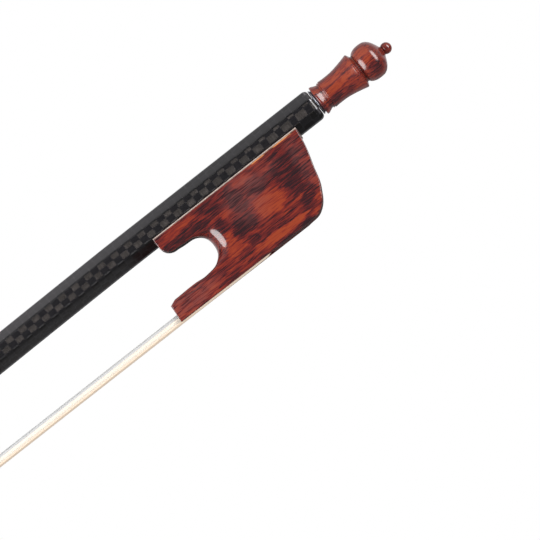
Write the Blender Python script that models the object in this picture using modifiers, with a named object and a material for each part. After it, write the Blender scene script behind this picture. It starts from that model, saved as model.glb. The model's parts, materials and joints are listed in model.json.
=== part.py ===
"""A baroque violin bow with a carbon stick, a snakewood frog and a snakewood button.

The bow stands upright on its hair: +X runs from the head to the button, +Z from the hair to the
stick, and Y = 0 is the plane of symmetry. The origin is the middle of the hair's playing face.
The stick, the frog's pieces and the screw's pieces are three groups that move against each other:
the screw turns in the stick and draws the frog along it.
"""
import math
from collections import namedtuple

import bmesh
import bpy
from mathutils import Matrix, Vector

MM = 0.001

# Clearances
RUN_GAP = 0.3 * MM      # between pieces that slide or turn on each other
SEAT_GAP = 0.2 * MM     # between pieces that are fixed to each other

# Hair
FREE_HAIR = 588.0 * MM          # from the head's throat to the front of the frog's tongue
HAIR_WIDTH_HEAD = 8.0 * MM
HAIR_WIDTH_FROG = 9.6 * MM
HAIR_THICK_HEAD = 1.9 * MM
HAIR_THICK_FROG = 2.2 * MM
HAIR_PRESSED = 0.8 * MM         # where the wood presses it flat
HAIR_SPRING = 0.8 * MM          # in front of the throat, where it swells to its free thickness
NECK_RADIUS = 1.2 * MM          # the bundle just under its knot

# Stick
AXIS_HEIGHT = 22.2 * MM         # the handle's axis above the hair's playing face
HANDLE_FLATS = 8.1 * MM         # across the flats of the eight-sided handle
HANDLE_LENGTH = 62.0 * MM       # the straight stretch that the frog slides on
BUTT_CHAMFER = 0.7 * MM
LINE_DROP = 0.2 * MM            # the frog's top, under the lower edge of the handle's side facet
SHAFT_SLOPE = 0.6               # degrees, where the shaft leaves the handle
SHAFT_STATIONS = 14
TAPER_POWER = 3.5               # the shaft thins slowly at first and fast near the head

# Frog
FROG_TOP = 43.9 * MM            # along the stick
TONGUE_REACH = 7.2 * MM         # how far the tongue reaches in front of the frog's top
FROG_TO_BUTT = 7.4 * MM
FROG_TOP_WIDTH = 9.0 * MM
FROG_EDGE_ROUND = 0.45 * MM
HAIR_EXIT = 21.0 * MM           # from the frog's front top corner to its mortise's rear wall
GROOVE_ROOF = 1.3 * MM          # the hair's groove, above the playing face
GROOVE_SIDE_GAP = 0.15 * MM
GROOVE_WALL = 0.85 * MM         # the wood beside the groove, at the sole
WEDGE_LENGTH = 6.0 * MM         # the spread wedge, from the tongue's front
WEDGE_ROOF = 3.9 * MM           # top of its pocket

# Underslide and its pins
LINER_THICK = 0.4 * MM
LINER_INSET = 0.15 * MM         # from each end of the frog's top
LINER_EDGE = 0.27 * MM          # its upper edge, under the top of the frog's outline
PIN_RADIUS = 0.5 * MM
PIN_LENGTH = 2.2 * MM
PIN_INSET = 4.0 * MM            # from each end of the frog's top

# Screw, eyelet, button and collar
SCREW_RADIUS = 1.4 * MM
SCREW_REACH = 44.0 * MM         # into the stick
SHANK_DEPTH = 14.0 * MM         # into the button
EYELET_PLACE = 21.0 * MM        # from the frog's front top corner
EYELET_LENGTH = 5.0 * MM
EYELET_WIDTH = 4.8 * MM
EYELET_CROWN = 2.6 * MM         # how far its head reaches above the screw's axis
EYELET_SHANK_RADIUS = 1.6 * MM
EYELET_SHANK_LENGTH = 7.0 * MM  # into the frog
TRAVEL_FORWARD = 3.0 * MM
TRAVEL_BACK = 4.4 * MM
COLLAR_LENGTH = 0.9 * MM
COLLAR_RADIUS = 3.8 * MM

# Hair anchors in the head and the frog
HEAD_MORTISE_LENGTH = 7.4 * MM
HEAD_MORTISE_WIDTH = 5.0 * MM
HEAD_MORTISE_ROOF = 6.4 * MM    # above the playing face
FROG_MORTISE_LENGTH = 8.0 * MM
FROG_MORTISE_WIDTH = 8.6 * MM
FROG_MORTISE_ROOF = 7.6 * MM
HEAD_EXIT = 9.9 * MM            # from the throat to the head mortise's nose wall
KNOT_RADIUS = 1.9 * MM
KNOT_HEIGHT = 1.4 * MM
NECK_LENGTH = 1.2 * MM
THREAD_THICK = 0.4 * MM
THREAD_HEIGHT = 0.8 * MM

# Derived places along the bow
THROAT_X = -FREE_HAIR / 2
TONGUE_X = FREE_HAIR / 2
FROG_X = TONGUE_X + TONGUE_REACH
FROG_REAR_X = FROG_X + FROG_TOP
BUTT_X = FROG_REAR_X + FROG_TO_BUTT
BUTTON_X = BUTT_X + COLLAR_LENGTH
HANDLE_X = BUTT_X - HANDLE_LENGTH
GROOVE_HALF = HAIR_WIDTH_FROG / 2 + GROOVE_SIDE_GAP
FROG_SOLE_WIDTH = 2 * (GROOVE_HALF + GROOVE_WALL)
EYELET_X = FROG_X + EYELET_PLACE
FLAT_RATIO = math.tan(math.pi / 8)
LINE_Z = AXIS_HEIGHT - HANDLE_FLATS / 2 * FLAT_RATIO - LINE_DROP
LINER_INNER = HANDLE_FLATS / 2 + RUN_GAP
LINER_OUTER = LINER_INNER + LINER_THICK
LINER_ENDS = (FROG_X + LINER_INSET, FROG_REAR_X - LINER_INSET)
PIN_PLACES = (("front", FROG_X + PIN_INSET), ("rear", FROG_REAR_X - PIN_INSET))

# The frog's outline, clockwise from its front top corner. Each spot is measured in mm from a
# place along the bow and from a height: the frog's top line or the hair's playing face.
# A corner is marked True, and the other spots are joined by a smooth curve.
Spot = namedtuple("Spot", "start_x along start_z up corner")
FROG_OUTLINE = (
    Spot(FROG_X, 0.0, LINE_Z, 0.0, True), Spot(FROG_REAR_X, 0.0, LINE_Z, 0.0, True),
    Spot(FROG_REAR_X, -0.7, LINE_Z, -4.8, False), Spot(FROG_REAR_X, -2.1, LINE_Z, -9.6, False),
    Spot(FROG_REAR_X, -3.8, 0.0, 5.4, False), Spot(FROG_REAR_X, -7.6, 0.0, 0.72, False),
    Spot(FROG_REAR_X, -11.9, 0.0, -0.08, True), Spot(TONGUE_X, 0.0, 0.0, 0.37, True),
    Spot(TONGUE_X, 0.25, 0.0, 4.7, True), Spot(TONGUE_X, 2.0, 0.0, 5.4, True),
    Spot(FROG_X, 1.4, 0.0, 5.5, False), Spot(FROG_X, 5.2, 0.0, 5.3, False),
    Spot(FROG_X, 9.2, 0.0, 6.5, False), Spot(FROG_X, 10.8, LINE_Z, -10.2, False),
    Spot(FROG_X, 9.3, LINE_Z, -6.7, False), Spot(FROG_X, 4.2, LINE_Z, -5.7, False),
    Spot(FROG_X, 1.3, LINE_Z, -5.6, False), Spot(FROG_X, -0.15, LINE_Z, -4.5, False),
)

HEAD_SOLE = 0.12    # mm, the head's sole above the middle of the free hair

# The head's sections, in mm: place before (+) or past (-) the throat, then the heights above the
# hair's middle of the crown and of the sole, then half widths and where they lie.
HeadSection = namedtuple("HeadSection", "place crown_z sole_z crown shoulder drop flank rise sole")
HEAD_SECTIONS = (
    HeadSection(28.0, 14.40, 10.10, 0.89, 2.15, 0.29, 2.15, 0.29, 0.89),
    HeadSection(16.0, 13.95, 9.85, 0.87, 2.10, 0.29, 2.10, 0.29, 0.87),
    HeadSection(11.0, 13.70, 9.40, 0.90, 2.15, 0.29, 2.15, 0.28, 0.95),
    HeadSection(7.5, 13.50, 8.50, 0.95, 2.25, 0.28, 2.25, 0.26, 1.10),
    HeadSection(4.3, 13.15, 7.05, 1.00, 2.40, 0.28, 2.50, 0.22, 1.50),
    HeadSection(2.7, 12.90, 5.80, 1.00, 2.50, 0.28, 2.85, 0.18, 2.00),
    HeadSection(1.3, 12.50, 4.35, 1.00, 2.65, 0.28, 3.35, 0.14, 2.75),
    HeadSection(0.4, 12.28, 2.90, 1.00, 2.75, 0.28, 3.80, 0.10, 3.35),
    HeadSection(0.0, 12.15, HEAD_SOLE, 1.00, 2.80, 0.28, 4.10, 0.06, 3.80),
    HeadSection(-1.6, 11.73, HEAD_SOLE, 0.98, 2.86, 0.28, 4.45, 0.06, 4.15),
    HeadSection(-4.0, 11.05, HEAD_SOLE, 0.95, 2.95, 0.29, 4.60, 0.06, 4.30),
    HeadSection(-7.3, 10.05, HEAD_SOLE, 0.90, 3.00, 0.31, 4.55, 0.07, 4.25),
    HeadSection(-9.9, 9.20, 0.16, 0.90, 2.95, 0.33, 4.40, 0.08, 4.10),
    HeadSection(-13.3, 8.15, 0.55, 0.85, 2.75, 0.35, 3.95, 0.12, 3.45),
    HeadSection(-16.5, 7.10, 0.90, 0.80, 2.50, 0.36, 3.40, 0.16, 2.75),
    HeadSection(-19.5, 6.30, 1.20, 0.75, 2.25, 0.36, 2.85, 0.20, 2.10),
    HeadSection(-22.5, 5.60, 1.65, 0.75, 2.00, 0.34, 2.30, 0.24, 1.50),
    HeadSection(-25.5, 5.15, 2.15, 0.75, 1.75, 0.31, 1.85, 0.28, 1.05),
    HeadSection(-28.5, 5.60, 3.10, 0.72, 1.55, 0.30, 1.60, 0.29, 0.80),
    HeadSection(-31.0, 6.50, 3.95, 0.70, 1.45, 0.29, 1.45, 0.29, 0.70),
    HeadSection(-33.0, 7.25, 4.80, 0.65, 1.35, 0.29, 1.35, 0.29, 0.65),
    HeadSection(-34.2, 6.95, 5.25, 0.50, 1.05, 0.30, 1.05, 0.30, 0.50),
    HeadSection(-34.8, 6.45, 5.65, 0.25, 0.50, 0.30, 0.50, 0.30, 0.25),
)
HEAD_DATUM_Z = HAIR_THICK_HEAD / 2   # the hair's middle at the throat
HEAD_ROOT = HEAD_SECTIONS[0]
HEAD_SOLE_Z = HEAD_DATUM_Z + HEAD_SOLE * MM

# The button's turned profile, in mm: distance from its front face, then radius
BUTTON_PROFILE = (
    (0.0, 3.95), (1.4, 3.8), (2.2, 3.75), (2.4, 3.5), (2.7, 3.74), (5.6, 3.73), (7.2, 3.83),
    (8.8, 4.1), (10.5, 4.45), (11.5, 4.65), (11.95, 4.68), (12.4, 3.96), (12.7, 3.72), (13.2, 4.0),
    (13.9, 4.45), (14.8, 4.76), (15.8, 4.82), (16.8, 4.76), (17.7, 4.45), (18.4, 3.7),
    (18.9, 2.9), (19.3, 2.1), (19.6, 1.3),
)
BALL_RADIUS = 1.47 * MM
BALL_NECK = 0.5 * MM            # the straight stretch before the finial's ball
BALL_STEPS = 6


def clear_scene():
    """Remove every object of the open scene."""
    for thing in list(bpy.data.objects):
        bpy.data.objects.remove(thing, do_unlink=True)


def material(name, colour, roughness, metallic=0.0):
    """Return a Principled BSDF material."""
    made = bpy.data.materials.new(name)
    made.use_nodes = True
    shader = made.node_tree.nodes["Principled BSDF"]
    shader.inputs["Base Color"].default_value = (*colour, 1.0)
    shader.inputs["Roughness"].default_value = roughness
    shader.inputs["Metallic"].default_value = metallic
    return made


class Bow:
    """Holds the collections and materials, and adds objects to them."""

    def __init__(self):
        self.parts = bpy.data.collections.new("baroque_violin_bow")
        self.cutters = bpy.data.collections.new("cutters")
        for group in (self.parts, self.cutters):
            bpy.context.scene.collection.children.link(group)
        self.carbon = material("carbon", (0.010, 0.010, 0.011), 0.25)
        self.snakewood = material("snakewood", (0.36, 0.07, 0.02), 0.25)
        self.silver = material("nickel_silver", (0.75, 0.74, 0.70), 0.2, 1.0)
        self.brass = material("brass", (0.70, 0.50, 0.20), 0.3, 1.0)
        self.steel = material("steel", (0.55, 0.56, 0.58), 0.3, 1.0)
        self.hair = material("horsehair", (0.80, 0.72, 0.60), 0.5)
        self.wood = material("limewood", (0.62, 0.47, 0.30), 0.6)
        self.thread = material("thread", (0.70, 0.10, 0.06), 0.7)

    def add(self, name, mesh, look=None, location=(0, 0, 0), rotation=(0, 0, 0)):
        """Add a mesh as a part with a look, or as a cutter without one."""
        thing = bpy.data.objects.new(name, mesh)
        thing.location = location
        thing.rotation_euler = rotation
        if look is None:
            thing.hide_render = True
            thing.display_type = "WIRE"
            self.cutters.objects.link(thing)
        else:
            mesh.materials.append(look)
            self.parts.objects.link(thing)
        return thing

    def cut(self, thing, cutter):
        """Take the cutter away from the thing."""
        step = thing.modifiers.new("cut_" + cutter.name, "BOOLEAN")
        step.operation = "DIFFERENCE"
        step.object = cutter


def mesh_of(name, built):
    """Return a mesh made from a bmesh, which is freed."""
    bmesh.ops.recalc_face_normals(built, faces=built.faces)
    mesh = bpy.data.meshes.new(name)
    built.to_mesh(mesh)
    built.free()
    return mesh


def loft(name, rings):
    """Join rings of points, one after the other, and close both ends."""
    built = bmesh.new()
    rows = [[built.verts.new(point) for point in ring] for ring in rings]
    for first, second in zip(rows, rows[1:]):
        for i, vert in enumerate(first):
            j = (i + 1) % len(first)
            built.faces.new((vert, first[j], second[j], second[i]))
    built.faces.new(rows[0][::-1])
    built.faces.new(rows[-1])
    return mesh_of(name, built)


def cylinder(name, radius, length, segments=24, end_radius=None):
    """Return a cylinder or cone along Z, centred on its origin."""
    built = bmesh.new()
    bmesh.ops.create_cone(
        built, cap_ends=True, segments=segments, radius1=radius,
        radius2=radius if end_radius is None else end_radius, depth=length,
    )
    return mesh_of(name, built)


def box(name, low, high):
    """Return a box between two corners."""
    built = bmesh.new()
    size = [top - bottom for bottom, top in zip(low, high)]
    middle = [(top + bottom) / 2 for bottom, top in zip(low, high)]
    bmesh.ops.create_cube(built, size=1.0)
    bmesh.ops.scale(built, vec=size, verts=built.verts)
    bmesh.ops.translate(built, vec=middle, verts=built.verts)
    return mesh_of(name, built)


def outline_mesh(name, points, half_width, smooth_steps=1):
    """Return a flat outline in the XZ plane, extruded to both sides along Y."""
    curve = bpy.data.curves.new(name, "CURVE")
    curve.dimensions = "2D"
    curve.fill_mode = "BOTH"
    curve.extrude = half_width
    curve.resolution_u = smooth_steps
    curve.render_resolution_u = 0
    line = curve.splines.new("BEZIER")
    line.bezier_points.add(len(points) - 1)
    line.use_cyclic_u = True
    for knot, (x, z, corner) in zip(line.bezier_points, points):
        knot.co = (x, z, 0)
        kind = "VECTOR" if corner else "AUTO"
        knot.handle_left_type = kind
        knot.handle_right_type = kind
    holder = bpy.data.objects.new(name + "_outline", curve)
    bpy.context.scene.collection.objects.link(holder)
    evaluated = holder.evaluated_get(bpy.context.evaluated_depsgraph_get())
    mesh = bpy.data.meshes.new_from_object(evaluated)
    bpy.data.objects.remove(holder, do_unlink=True)
    bpy.data.curves.remove(curve)
    built = bmesh.new()
    built.from_mesh(mesh)
    bpy.data.meshes.remove(mesh)
    bmesh.ops.remove_doubles(built, verts=built.verts, dist=0.001 * MM)
    bmesh.ops.transform(built, matrix=Matrix.Rotation(math.pi / 2, 4, "X"), verts=built.verts)
    bmesh.ops.dissolve_limit(
        built, angle_limit=math.radians(1), verts=built.verts, edges=built.edges
    )
    return mesh_of(name, built)


def corners(points):
    """Mark every point of an outline as a corner."""
    return [(x, z, True) for x, z in points]


def octagon(half_flats, height=0.0):
    """Return an eight-sided section as (y, z) points round its axis."""
    side = half_flats * FLAT_RATIO
    quarter = ((side, half_flats), (half_flats, side), (half_flats, -side), (side, -half_flats))
    mirrored = [(-y, z) for y, z in reversed(quarter)]
    return [(y, z + height) for y, z in (*quarter, *mirrored)]


def shaft_height(x):
    """Return the height of the stick's axis, which bends gently down towards the head."""
    if x >= HANDLE_X:
        return AXIS_HEIGHT
    root_x = THROAT_X + HEAD_ROOT.place * MM
    root_z = HEAD_DATUM_Z + (HEAD_ROOT.crown_z + HEAD_ROOT.sole_z) / 2 * MM
    span = HANDLE_X - root_x
    t = (HANDLE_X - x) / span
    slope = -math.tan(math.radians(SHAFT_SLOPE)) * span
    drop = root_z - AXIS_HEIGHT
    return AXIS_HEIGHT + slope * t * (1 - t) ** 2 + drop * t * t * (3 - 2 * t)


def shaft_flats(x):
    """Return the stick's thickness across its flats."""
    root_x = THROAT_X + HEAD_ROOT.place * MM
    root = (HEAD_ROOT.crown_z - HEAD_ROOT.sole_z) * MM
    t = min(max((x - root_x) / (HANDLE_X - root_x), 0.0), 1.0)
    return HANDLE_FLATS - (HANDLE_FLATS - root) * (1 - t) ** TAPER_POWER


def head_ring(section):
    """Return one section of the head as points."""
    x = THROAT_X + section.place * MM
    top = section.crown_z
    height = section.crown_z - section.sole_z
    half = (
        (section.crown, top), (section.shoulder, top - section.drop * height),
        (section.flank, section.sole_z + section.rise * height), (section.sole, section.sole_z),
    )
    ring = (*half, *((-y, z) for y, z in reversed(half)))
    return [Vector((x, y * MM, HEAD_DATUM_Z + z * MM)) for y, z in ring]


def make_stick(bow):
    """The stick with its head, bored for the screw and slotted for the eyelet."""
    def ring(x, flats):
        return [Vector((x, y, z)) for y, z in octagon(flats / 2, shaft_height(x))]

    rings = [ring(BUTT_X, HANDLE_FLATS - 2 * BUTT_CHAMFER), ring(BUTT_X - BUTT_CHAMFER, HANDLE_FLATS)]
    root_x = THROAT_X + HEAD_ROOT.place * MM
    for i in range(SHAFT_STATIONS):
        x = HANDLE_X + (root_x - HANDLE_X) * i / SHAFT_STATIONS
        rings.append(ring(x, shaft_flats(x)))
    rings += [head_ring(section) for section in HEAD_SECTIONS]
    stick = bow.add("stick", loft("stick", rings), bow.carbon)

    bore_length = SCREW_REACH + 2 * RUN_GAP
    bore = cylinder("screw_bore", SCREW_RADIUS + RUN_GAP, 2 * bore_length)
    bow.cut(stick, bow.add("screw_bore", bore, None, (BUTT_X, 0, AXIS_HEIGHT), (0, math.pi / 2, 0)))
    half = EYELET_LENGTH / 2 + RUN_GAP
    slot = box(
        "eyelet_slot",
        (EYELET_X - half - TRAVEL_FORWARD, -EYELET_WIDTH / 2 - RUN_GAP, AXIS_HEIGHT - HANDLE_FLATS),
        (EYELET_X + half + TRAVEL_BACK, EYELET_WIDTH / 2 + RUN_GAP, AXIS_HEIGHT + EYELET_CROWN + RUN_GAP),
    )
    bow.cut(stick, bow.add("eyelet_slot", slot))
    bow.cut(stick, mortise(bow, HEAD_ANCHOR))


# Where each end of the hair is anchored: the mortise's outer wall, the direction of the free hair,
# the mortise's size, and the height of the wood round its mouth.
Anchor = namedtuple("Anchor", "name wall_x toward length width roof_z mouth_z")
HEAD_ANCHOR = Anchor(
    "head", THROAT_X - HEAD_EXIT, 1, HEAD_MORTISE_LENGTH, HEAD_MORTISE_WIDTH, HEAD_MORTISE_ROOF,
    HEAD_SOLE_Z,
)
FROG_ANCHOR = Anchor(
    "frog", FROG_X + HAIR_EXIT, -1, FROG_MORTISE_LENGTH, FROG_MORTISE_WIDTH, FROG_MORTISE_ROOF,
    GROOVE_ROOF,
)


def mortise(bow, anchor):
    """Return the cutter of an anchor's mortise."""
    ends = sorted((anchor.wall_x, anchor.wall_x + anchor.toward * anchor.length))
    name = anchor.name + "_mortise"
    half = anchor.width / 2
    return bow.add(name, box(name, (ends[0], -half, -MM), (ends[1], half, anchor.roof_z)))


def neck_place(anchor):
    """Return where the hair's knotted bundle stands: its place along X and its top."""
    reach = KNOT_RADIUS + 2 * SEAT_GAP
    return anchor.wall_x + anchor.toward * reach, anchor.roof_z - KNOT_HEIGHT - 2 * SEAT_GAP


def hair_ring(middle, along, width, thick):
    """Return a flat section with bevelled corners, square to its direction in the XZ plane."""
    up = Vector((-along.z, 0, along.x))
    side = Vector((0, 1, 0))
    bevel = 0.3 * min(width, thick)
    half = ((width / 2 - bevel, thick / 2), (width / 2, thick / 2 - bevel))
    upper = [middle + side * y + up * z for y, z in half]
    lower = [middle + side * y - up * z for y, z in reversed(half)]
    lower_far = [middle - side * y - up * z for y, z in half]
    upper_far = [middle - side * y + up * z for y, z in reversed(half)]
    return upper + lower + lower_far + upper_far


def anchor_rings(anchor):
    """Return the hair's sections from its knot down to the start of the flat ribbon."""
    neck_x, neck_z = neck_place(anchor)
    toward = anchor.toward
    thick = HAIR_PRESSED
    width = anchor.width - 2 * RUN_GAP
    foot_x = anchor.wall_x + toward * (RUN_GAP + thick / 2)
    down = Vector((0, 0, -1))
    turn = Vector((toward, 0, -1)).normalized()
    flat = Vector((toward, 0, 0))
    neck = 2 * NECK_RADIUS
    return [
        hair_ring(Vector((neck_x, 0, neck_z)), down, neck, neck),
        hair_ring(Vector((neck_x, 0, neck_z - NECK_LENGTH)), down, neck, neck),
        hair_ring(Vector((foot_x, 0, 3 * thick)), down, width, thick),
        hair_ring(Vector((foot_x, 0, 2 * thick)), down, width, thick),
        hair_ring(Vector((foot_x + toward * 0.3 * thick, 0, 0.85 * thick)), turn, width, thick),
        hair_ring(Vector((foot_x + toward * 1.5 * thick, 0, thick / 2)), flat, width, thick),
    ]


def make_hair(bow):
    """The ribbon of horsehair, flat on its playing face and anchored at both ends."""
    along = Vector((1, 0, 0))

    def flat_ring(x, width, thick):
        return hair_ring(Vector((x, 0, thick / 2)), along, width, thick)

    rings = anchor_rings(HEAD_ANCHOR)
    rings.append(flat_ring(THROAT_X, HAIR_WIDTH_HEAD, HAIR_PRESSED))
    rings.append(flat_ring(THROAT_X + HAIR_SPRING, HAIR_WIDTH_HEAD, HAIR_THICK_HEAD))
    rings.append(flat_ring(TONGUE_X - WEDGE_LENGTH, HAIR_WIDTH_FROG, HAIR_THICK_FROG))
    rings.append(flat_ring(TONGUE_X, HAIR_WIDTH_FROG - RUN_GAP, HAIR_THICK_FROG))
    rings.append(flat_ring(TONGUE_X + WEDGE_LENGTH, HAIR_WIDTH_FROG - 2 * RUN_GAP, GROOVE_ROOF - RUN_GAP))
    back = [ring[::-1] for ring in reversed(anchor_rings(FROG_ANCHOR))]
    rings += [ring[-4:] + ring[:-4] for ring in back]
    bow.add("hair", loft("hair", rings), bow.hair)


def turned(bow, name, profile, look, location, rotation=(0, 0, 0), steps=32, closed=False):
    """Add a turned piece from a profile of (radius, height) points, in metres."""
    mesh = bpy.data.meshes.new(name)
    edges = [(i, i + 1) for i in range(len(profile) - 1)]
    if closed:
        edges.append((len(profile) - 1, 0))
    mesh.from_pydata([(radius, 0, height) for radius, height in profile], edges, [])
    thing = bow.add(name, mesh, look, location, rotation)
    turn = thing.modifiers.new("turn", "SCREW")
    turn.axis = "Z"
    turn.steps = steps
    turn.render_steps = steps
    turn.use_merge_vertices = True
    turn.merge_threshold = 0.00001
    return thing


def make_anchor(bow, anchor):
    """The knot, its binding and the plug that hold one end of the hair."""
    neck_x, neck_z = neck_place(anchor)
    knot = cylinder(anchor.name + "_hair_knot", KNOT_RADIUS, KNOT_HEIGHT, 16, 0.8 * KNOT_RADIUS)
    knot_z = neck_z + SEAT_GAP + KNOT_HEIGHT / 2
    bow.add(anchor.name + "_hair_knot", knot, bow.hair, (neck_x, 0, knot_z))

    inner = 1.1 * NECK_RADIUS + SEAT_GAP
    outer = inner + THREAD_THICK
    half = THREAD_HEIGHT / 2
    band = ((inner, half), (outer, half), (outer, -half), (inner, -half))
    thread_z = neck_z - SEAT_GAP - half
    turned(bow, anchor.name + "_knot_thread", band, bow.thread, (neck_x, 0, thread_z), steps=20, closed=True)

    top_z = neck_z - NECK_LENGTH - RUN_GAP
    near = abs(neck_x - anchor.wall_x) + NECK_RADIUS + RUN_GAP
    far = anchor.length - SEAT_GAP
    foot = 2 * RUN_GAP + 1.6 * HAIR_PRESSED
    bottom_z = max(anchor.mouth_z, HAIR_PRESSED + RUN_GAP)
    points = ((foot, bottom_z), (far, bottom_z), (far, top_z), (near, top_z))
    placed = [(anchor.wall_x + anchor.toward * along, z) for along, z in points]
    plug = outline_mesh(anchor.name + "_plug", corners(placed), anchor.width / 2 - SEAT_GAP)
    bow.add(anchor.name + "_plug", plug, bow.wood)


def make_frog(bow):
    """The frog's block, tapered towards the stick, with its seat, groove, mortise and holes."""
    points = [
        (spot.start_x + spot.along * MM, spot.start_z + spot.up * MM, spot.corner) for spot in FROG_OUTLINE
    ]
    mesh = outline_mesh("frog", points, FROG_SOLE_WIDTH / 2, 5)
    narrowing = 1 - FROG_TOP_WIDTH / FROG_SOLE_WIDTH
    for vert in mesh.vertices:
        vert.co.y *= 1 - narrowing * vert.co.z / LINE_Z
    frog = bow.add("frog", mesh, bow.snakewood)
    rounding = frog.modifiers.new("rounding", "BEVEL")
    rounding.width = FROG_EDGE_ROUND
    rounding.segments = 2
    rounding.limit_method = "ANGLE"
    rounding.angle_limit = math.radians(50)

    seat_half = LINER_OUTER + SEAT_GAP
    ends = (FROG_X - 2 * MM, FROG_REAR_X + 2 * MM)
    seat = loft("seat", [[Vector((x, y, z)) for y, z in octagon(seat_half, AXIS_HEIGHT)] for x in ends])
    bow.cut(frog, bow.add("seat", seat))
    groove = box(
        "hair_groove", (TONGUE_X - MM, -GROOVE_HALF, -MM), (FROG_ANCHOR.wall_x, GROOVE_HALF, GROOVE_ROOF)
    )
    bow.cut(frog, bow.add("hair_groove", groove))
    pocket_end = TONGUE_X + WEDGE_LENGTH + SEAT_GAP
    pocket = box("wedge_pocket", (TONGUE_X - MM, -GROOVE_HALF, -MM), (pocket_end, GROOVE_HALF, WEDGE_ROOF))
    bow.cut(frog, bow.add("wedge_pocket", pocket))
    bow.cut(frog, mortise(bow, FROG_ANCHOR))
    hole = cylinder("shank_hole", EYELET_SHANK_RADIUS + SEAT_GAP, 2 * EYELET_SHANK_LENGTH)
    liner_bottom = AXIS_HEIGHT - LINER_OUTER
    bow.cut(frog, bow.add("shank_hole", hole, None, (EYELET_X, 0, liner_bottom - SEAT_GAP)))
    for place, x in PIN_PLACES:
        pin_hole = cylinder("frog_pin_hole_" + place, PIN_RADIUS + SEAT_GAP, 2 * PIN_LENGTH, 16)
        bow.cut(frog, bow.add("frog_pin_hole_" + place, pin_hole, None, (x, 0, liner_bottom)))


def liner_section():
    """Return the underslide's section: three facets round the stick's lower side."""
    edge_z = LINE_Z - LINER_EDGE
    rise = AXIS_HEIGHT - edge_z
    flank = min(FROG_TOP_WIDTH / 2, math.sqrt(2) * LINER_OUTER - rise - SEAT_GAP / 2)
    right = (
        (math.sqrt(2) * LINER_INNER - rise, edge_z), (flank, edge_z),
        (flank, AXIS_HEIGHT - math.sqrt(2) * LINER_OUTER + flank),
        (LINER_OUTER * FLAT_RATIO, AXIS_HEIGHT - LINER_OUTER),
    )
    inside = (LINER_INNER * FLAT_RATIO, AXIS_HEIGHT - LINER_INNER)
    left = tuple((-y, z) for y, z in reversed(right))
    return right + left + ((-inside[0], inside[1]), inside)


def make_underslide(bow):
    """The thin metal lining between frog and stick, and the two pins that hold it."""
    section = liner_section()
    rings = [[Vector((x, y, z)) for y, z in section] for x in LINER_ENDS]
    liner = bow.add("underslide", loft("underslide", rings), bow.silver)
    middle_z = AXIS_HEIGHT - LINER_INNER - LINER_THICK / 2
    hole = cylinder("liner_shank_hole", EYELET_SHANK_RADIUS + SEAT_GAP, 4 * LINER_THICK)
    bow.cut(liner, bow.add("liner_shank_hole", hole, None, (EYELET_X, 0, middle_z)))
    top_z = AXIS_HEIGHT - LINER_INNER
    for place, x in PIN_PLACES:
        pin_hole = cylinder("liner_pin_hole_" + place, PIN_RADIUS + SEAT_GAP, 4 * LINER_THICK, 16)
        bow.cut(liner, bow.add("liner_pin_hole_" + place, pin_hole, None, (x, 0, middle_z)))
        pin = cylinder("underslide_pin_" + place, PIN_RADIUS, PIN_LENGTH, 12)
        bow.add("underslide_pin_" + place, pin, bow.brass, (x, 0, top_z - PIN_LENGTH / 2))


def make_eyelet(bow):
    """The brass nut that rides in the stick's slot and is screwed into the frog."""
    bottom_z = AXIS_HEIGHT - math.sqrt(2) * LINER_INNER + EYELET_WIDTH / 2 + SEAT_GAP
    half = EYELET_LENGTH / 2
    low = (EYELET_X - half, -EYELET_WIDTH / 2, bottom_z)
    high = (EYELET_X + half, EYELET_WIDTH / 2, AXIS_HEIGHT + EYELET_CROWN)
    eyelet = bow.add("eyelet", box("eyelet", low, high), bow.brass)
    foot_z = AXIS_HEIGHT - LINER_OUTER - EYELET_SHANK_LENGTH + SEAT_GAP
    length = bottom_z - foot_z + MM
    shank = cylinder("eyelet_shank", EYELET_SHANK_RADIUS, length)
    join = eyelet.modifiers.new("shank", "BOOLEAN")
    join.operation = "UNION"
    join.object = bow.add("eyelet_shank", shank, None, (EYELET_X, 0, foot_z + length / 2))
    thread = cylinder("eyelet_thread", SCREW_RADIUS + RUN_GAP, 3 * EYELET_LENGTH)
    bow.cut(eyelet, bow.add("eyelet_thread", thread, None, (EYELET_X, 0, AXIS_HEIGHT), (0, math.pi / 2, 0)))


def make_wedge(bow):
    """The wooden wedge that spreads the hair in the tongue."""
    front = TONGUE_X + SEAT_GAP
    rear = TONGUE_X + WEDGE_LENGTH
    roof = WEDGE_ROOF - SEAT_GAP
    points = ((front, HAIR_THICK_FROG + RUN_GAP), (rear, GROOVE_ROOF), (rear, roof), (front, roof))
    half = GROOVE_HALF - SEAT_GAP
    bow.add("spread_wedge", outline_mesh("spread_wedge", corners(points), half), bow.wood)


def ball_profile():
    """Return the finial's arc, from its neck to its end."""
    neck_place, neck = (size * MM for size in BUTTON_PROFILE[-1])
    start = math.asin(neck / BALL_RADIUS)
    middle = neck_place + BALL_NECK + BALL_RADIUS * math.cos(start)
    arc = []
    for i in range(BALL_STEPS + 1):
        angle = start + (math.pi - start) * i / BALL_STEPS
        arc.append((BALL_RADIUS * math.sin(angle), BALL_RADIUS * math.cos(angle) - middle))
    return arc[:-1] + [(0.0, arc[-1][1])]


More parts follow.
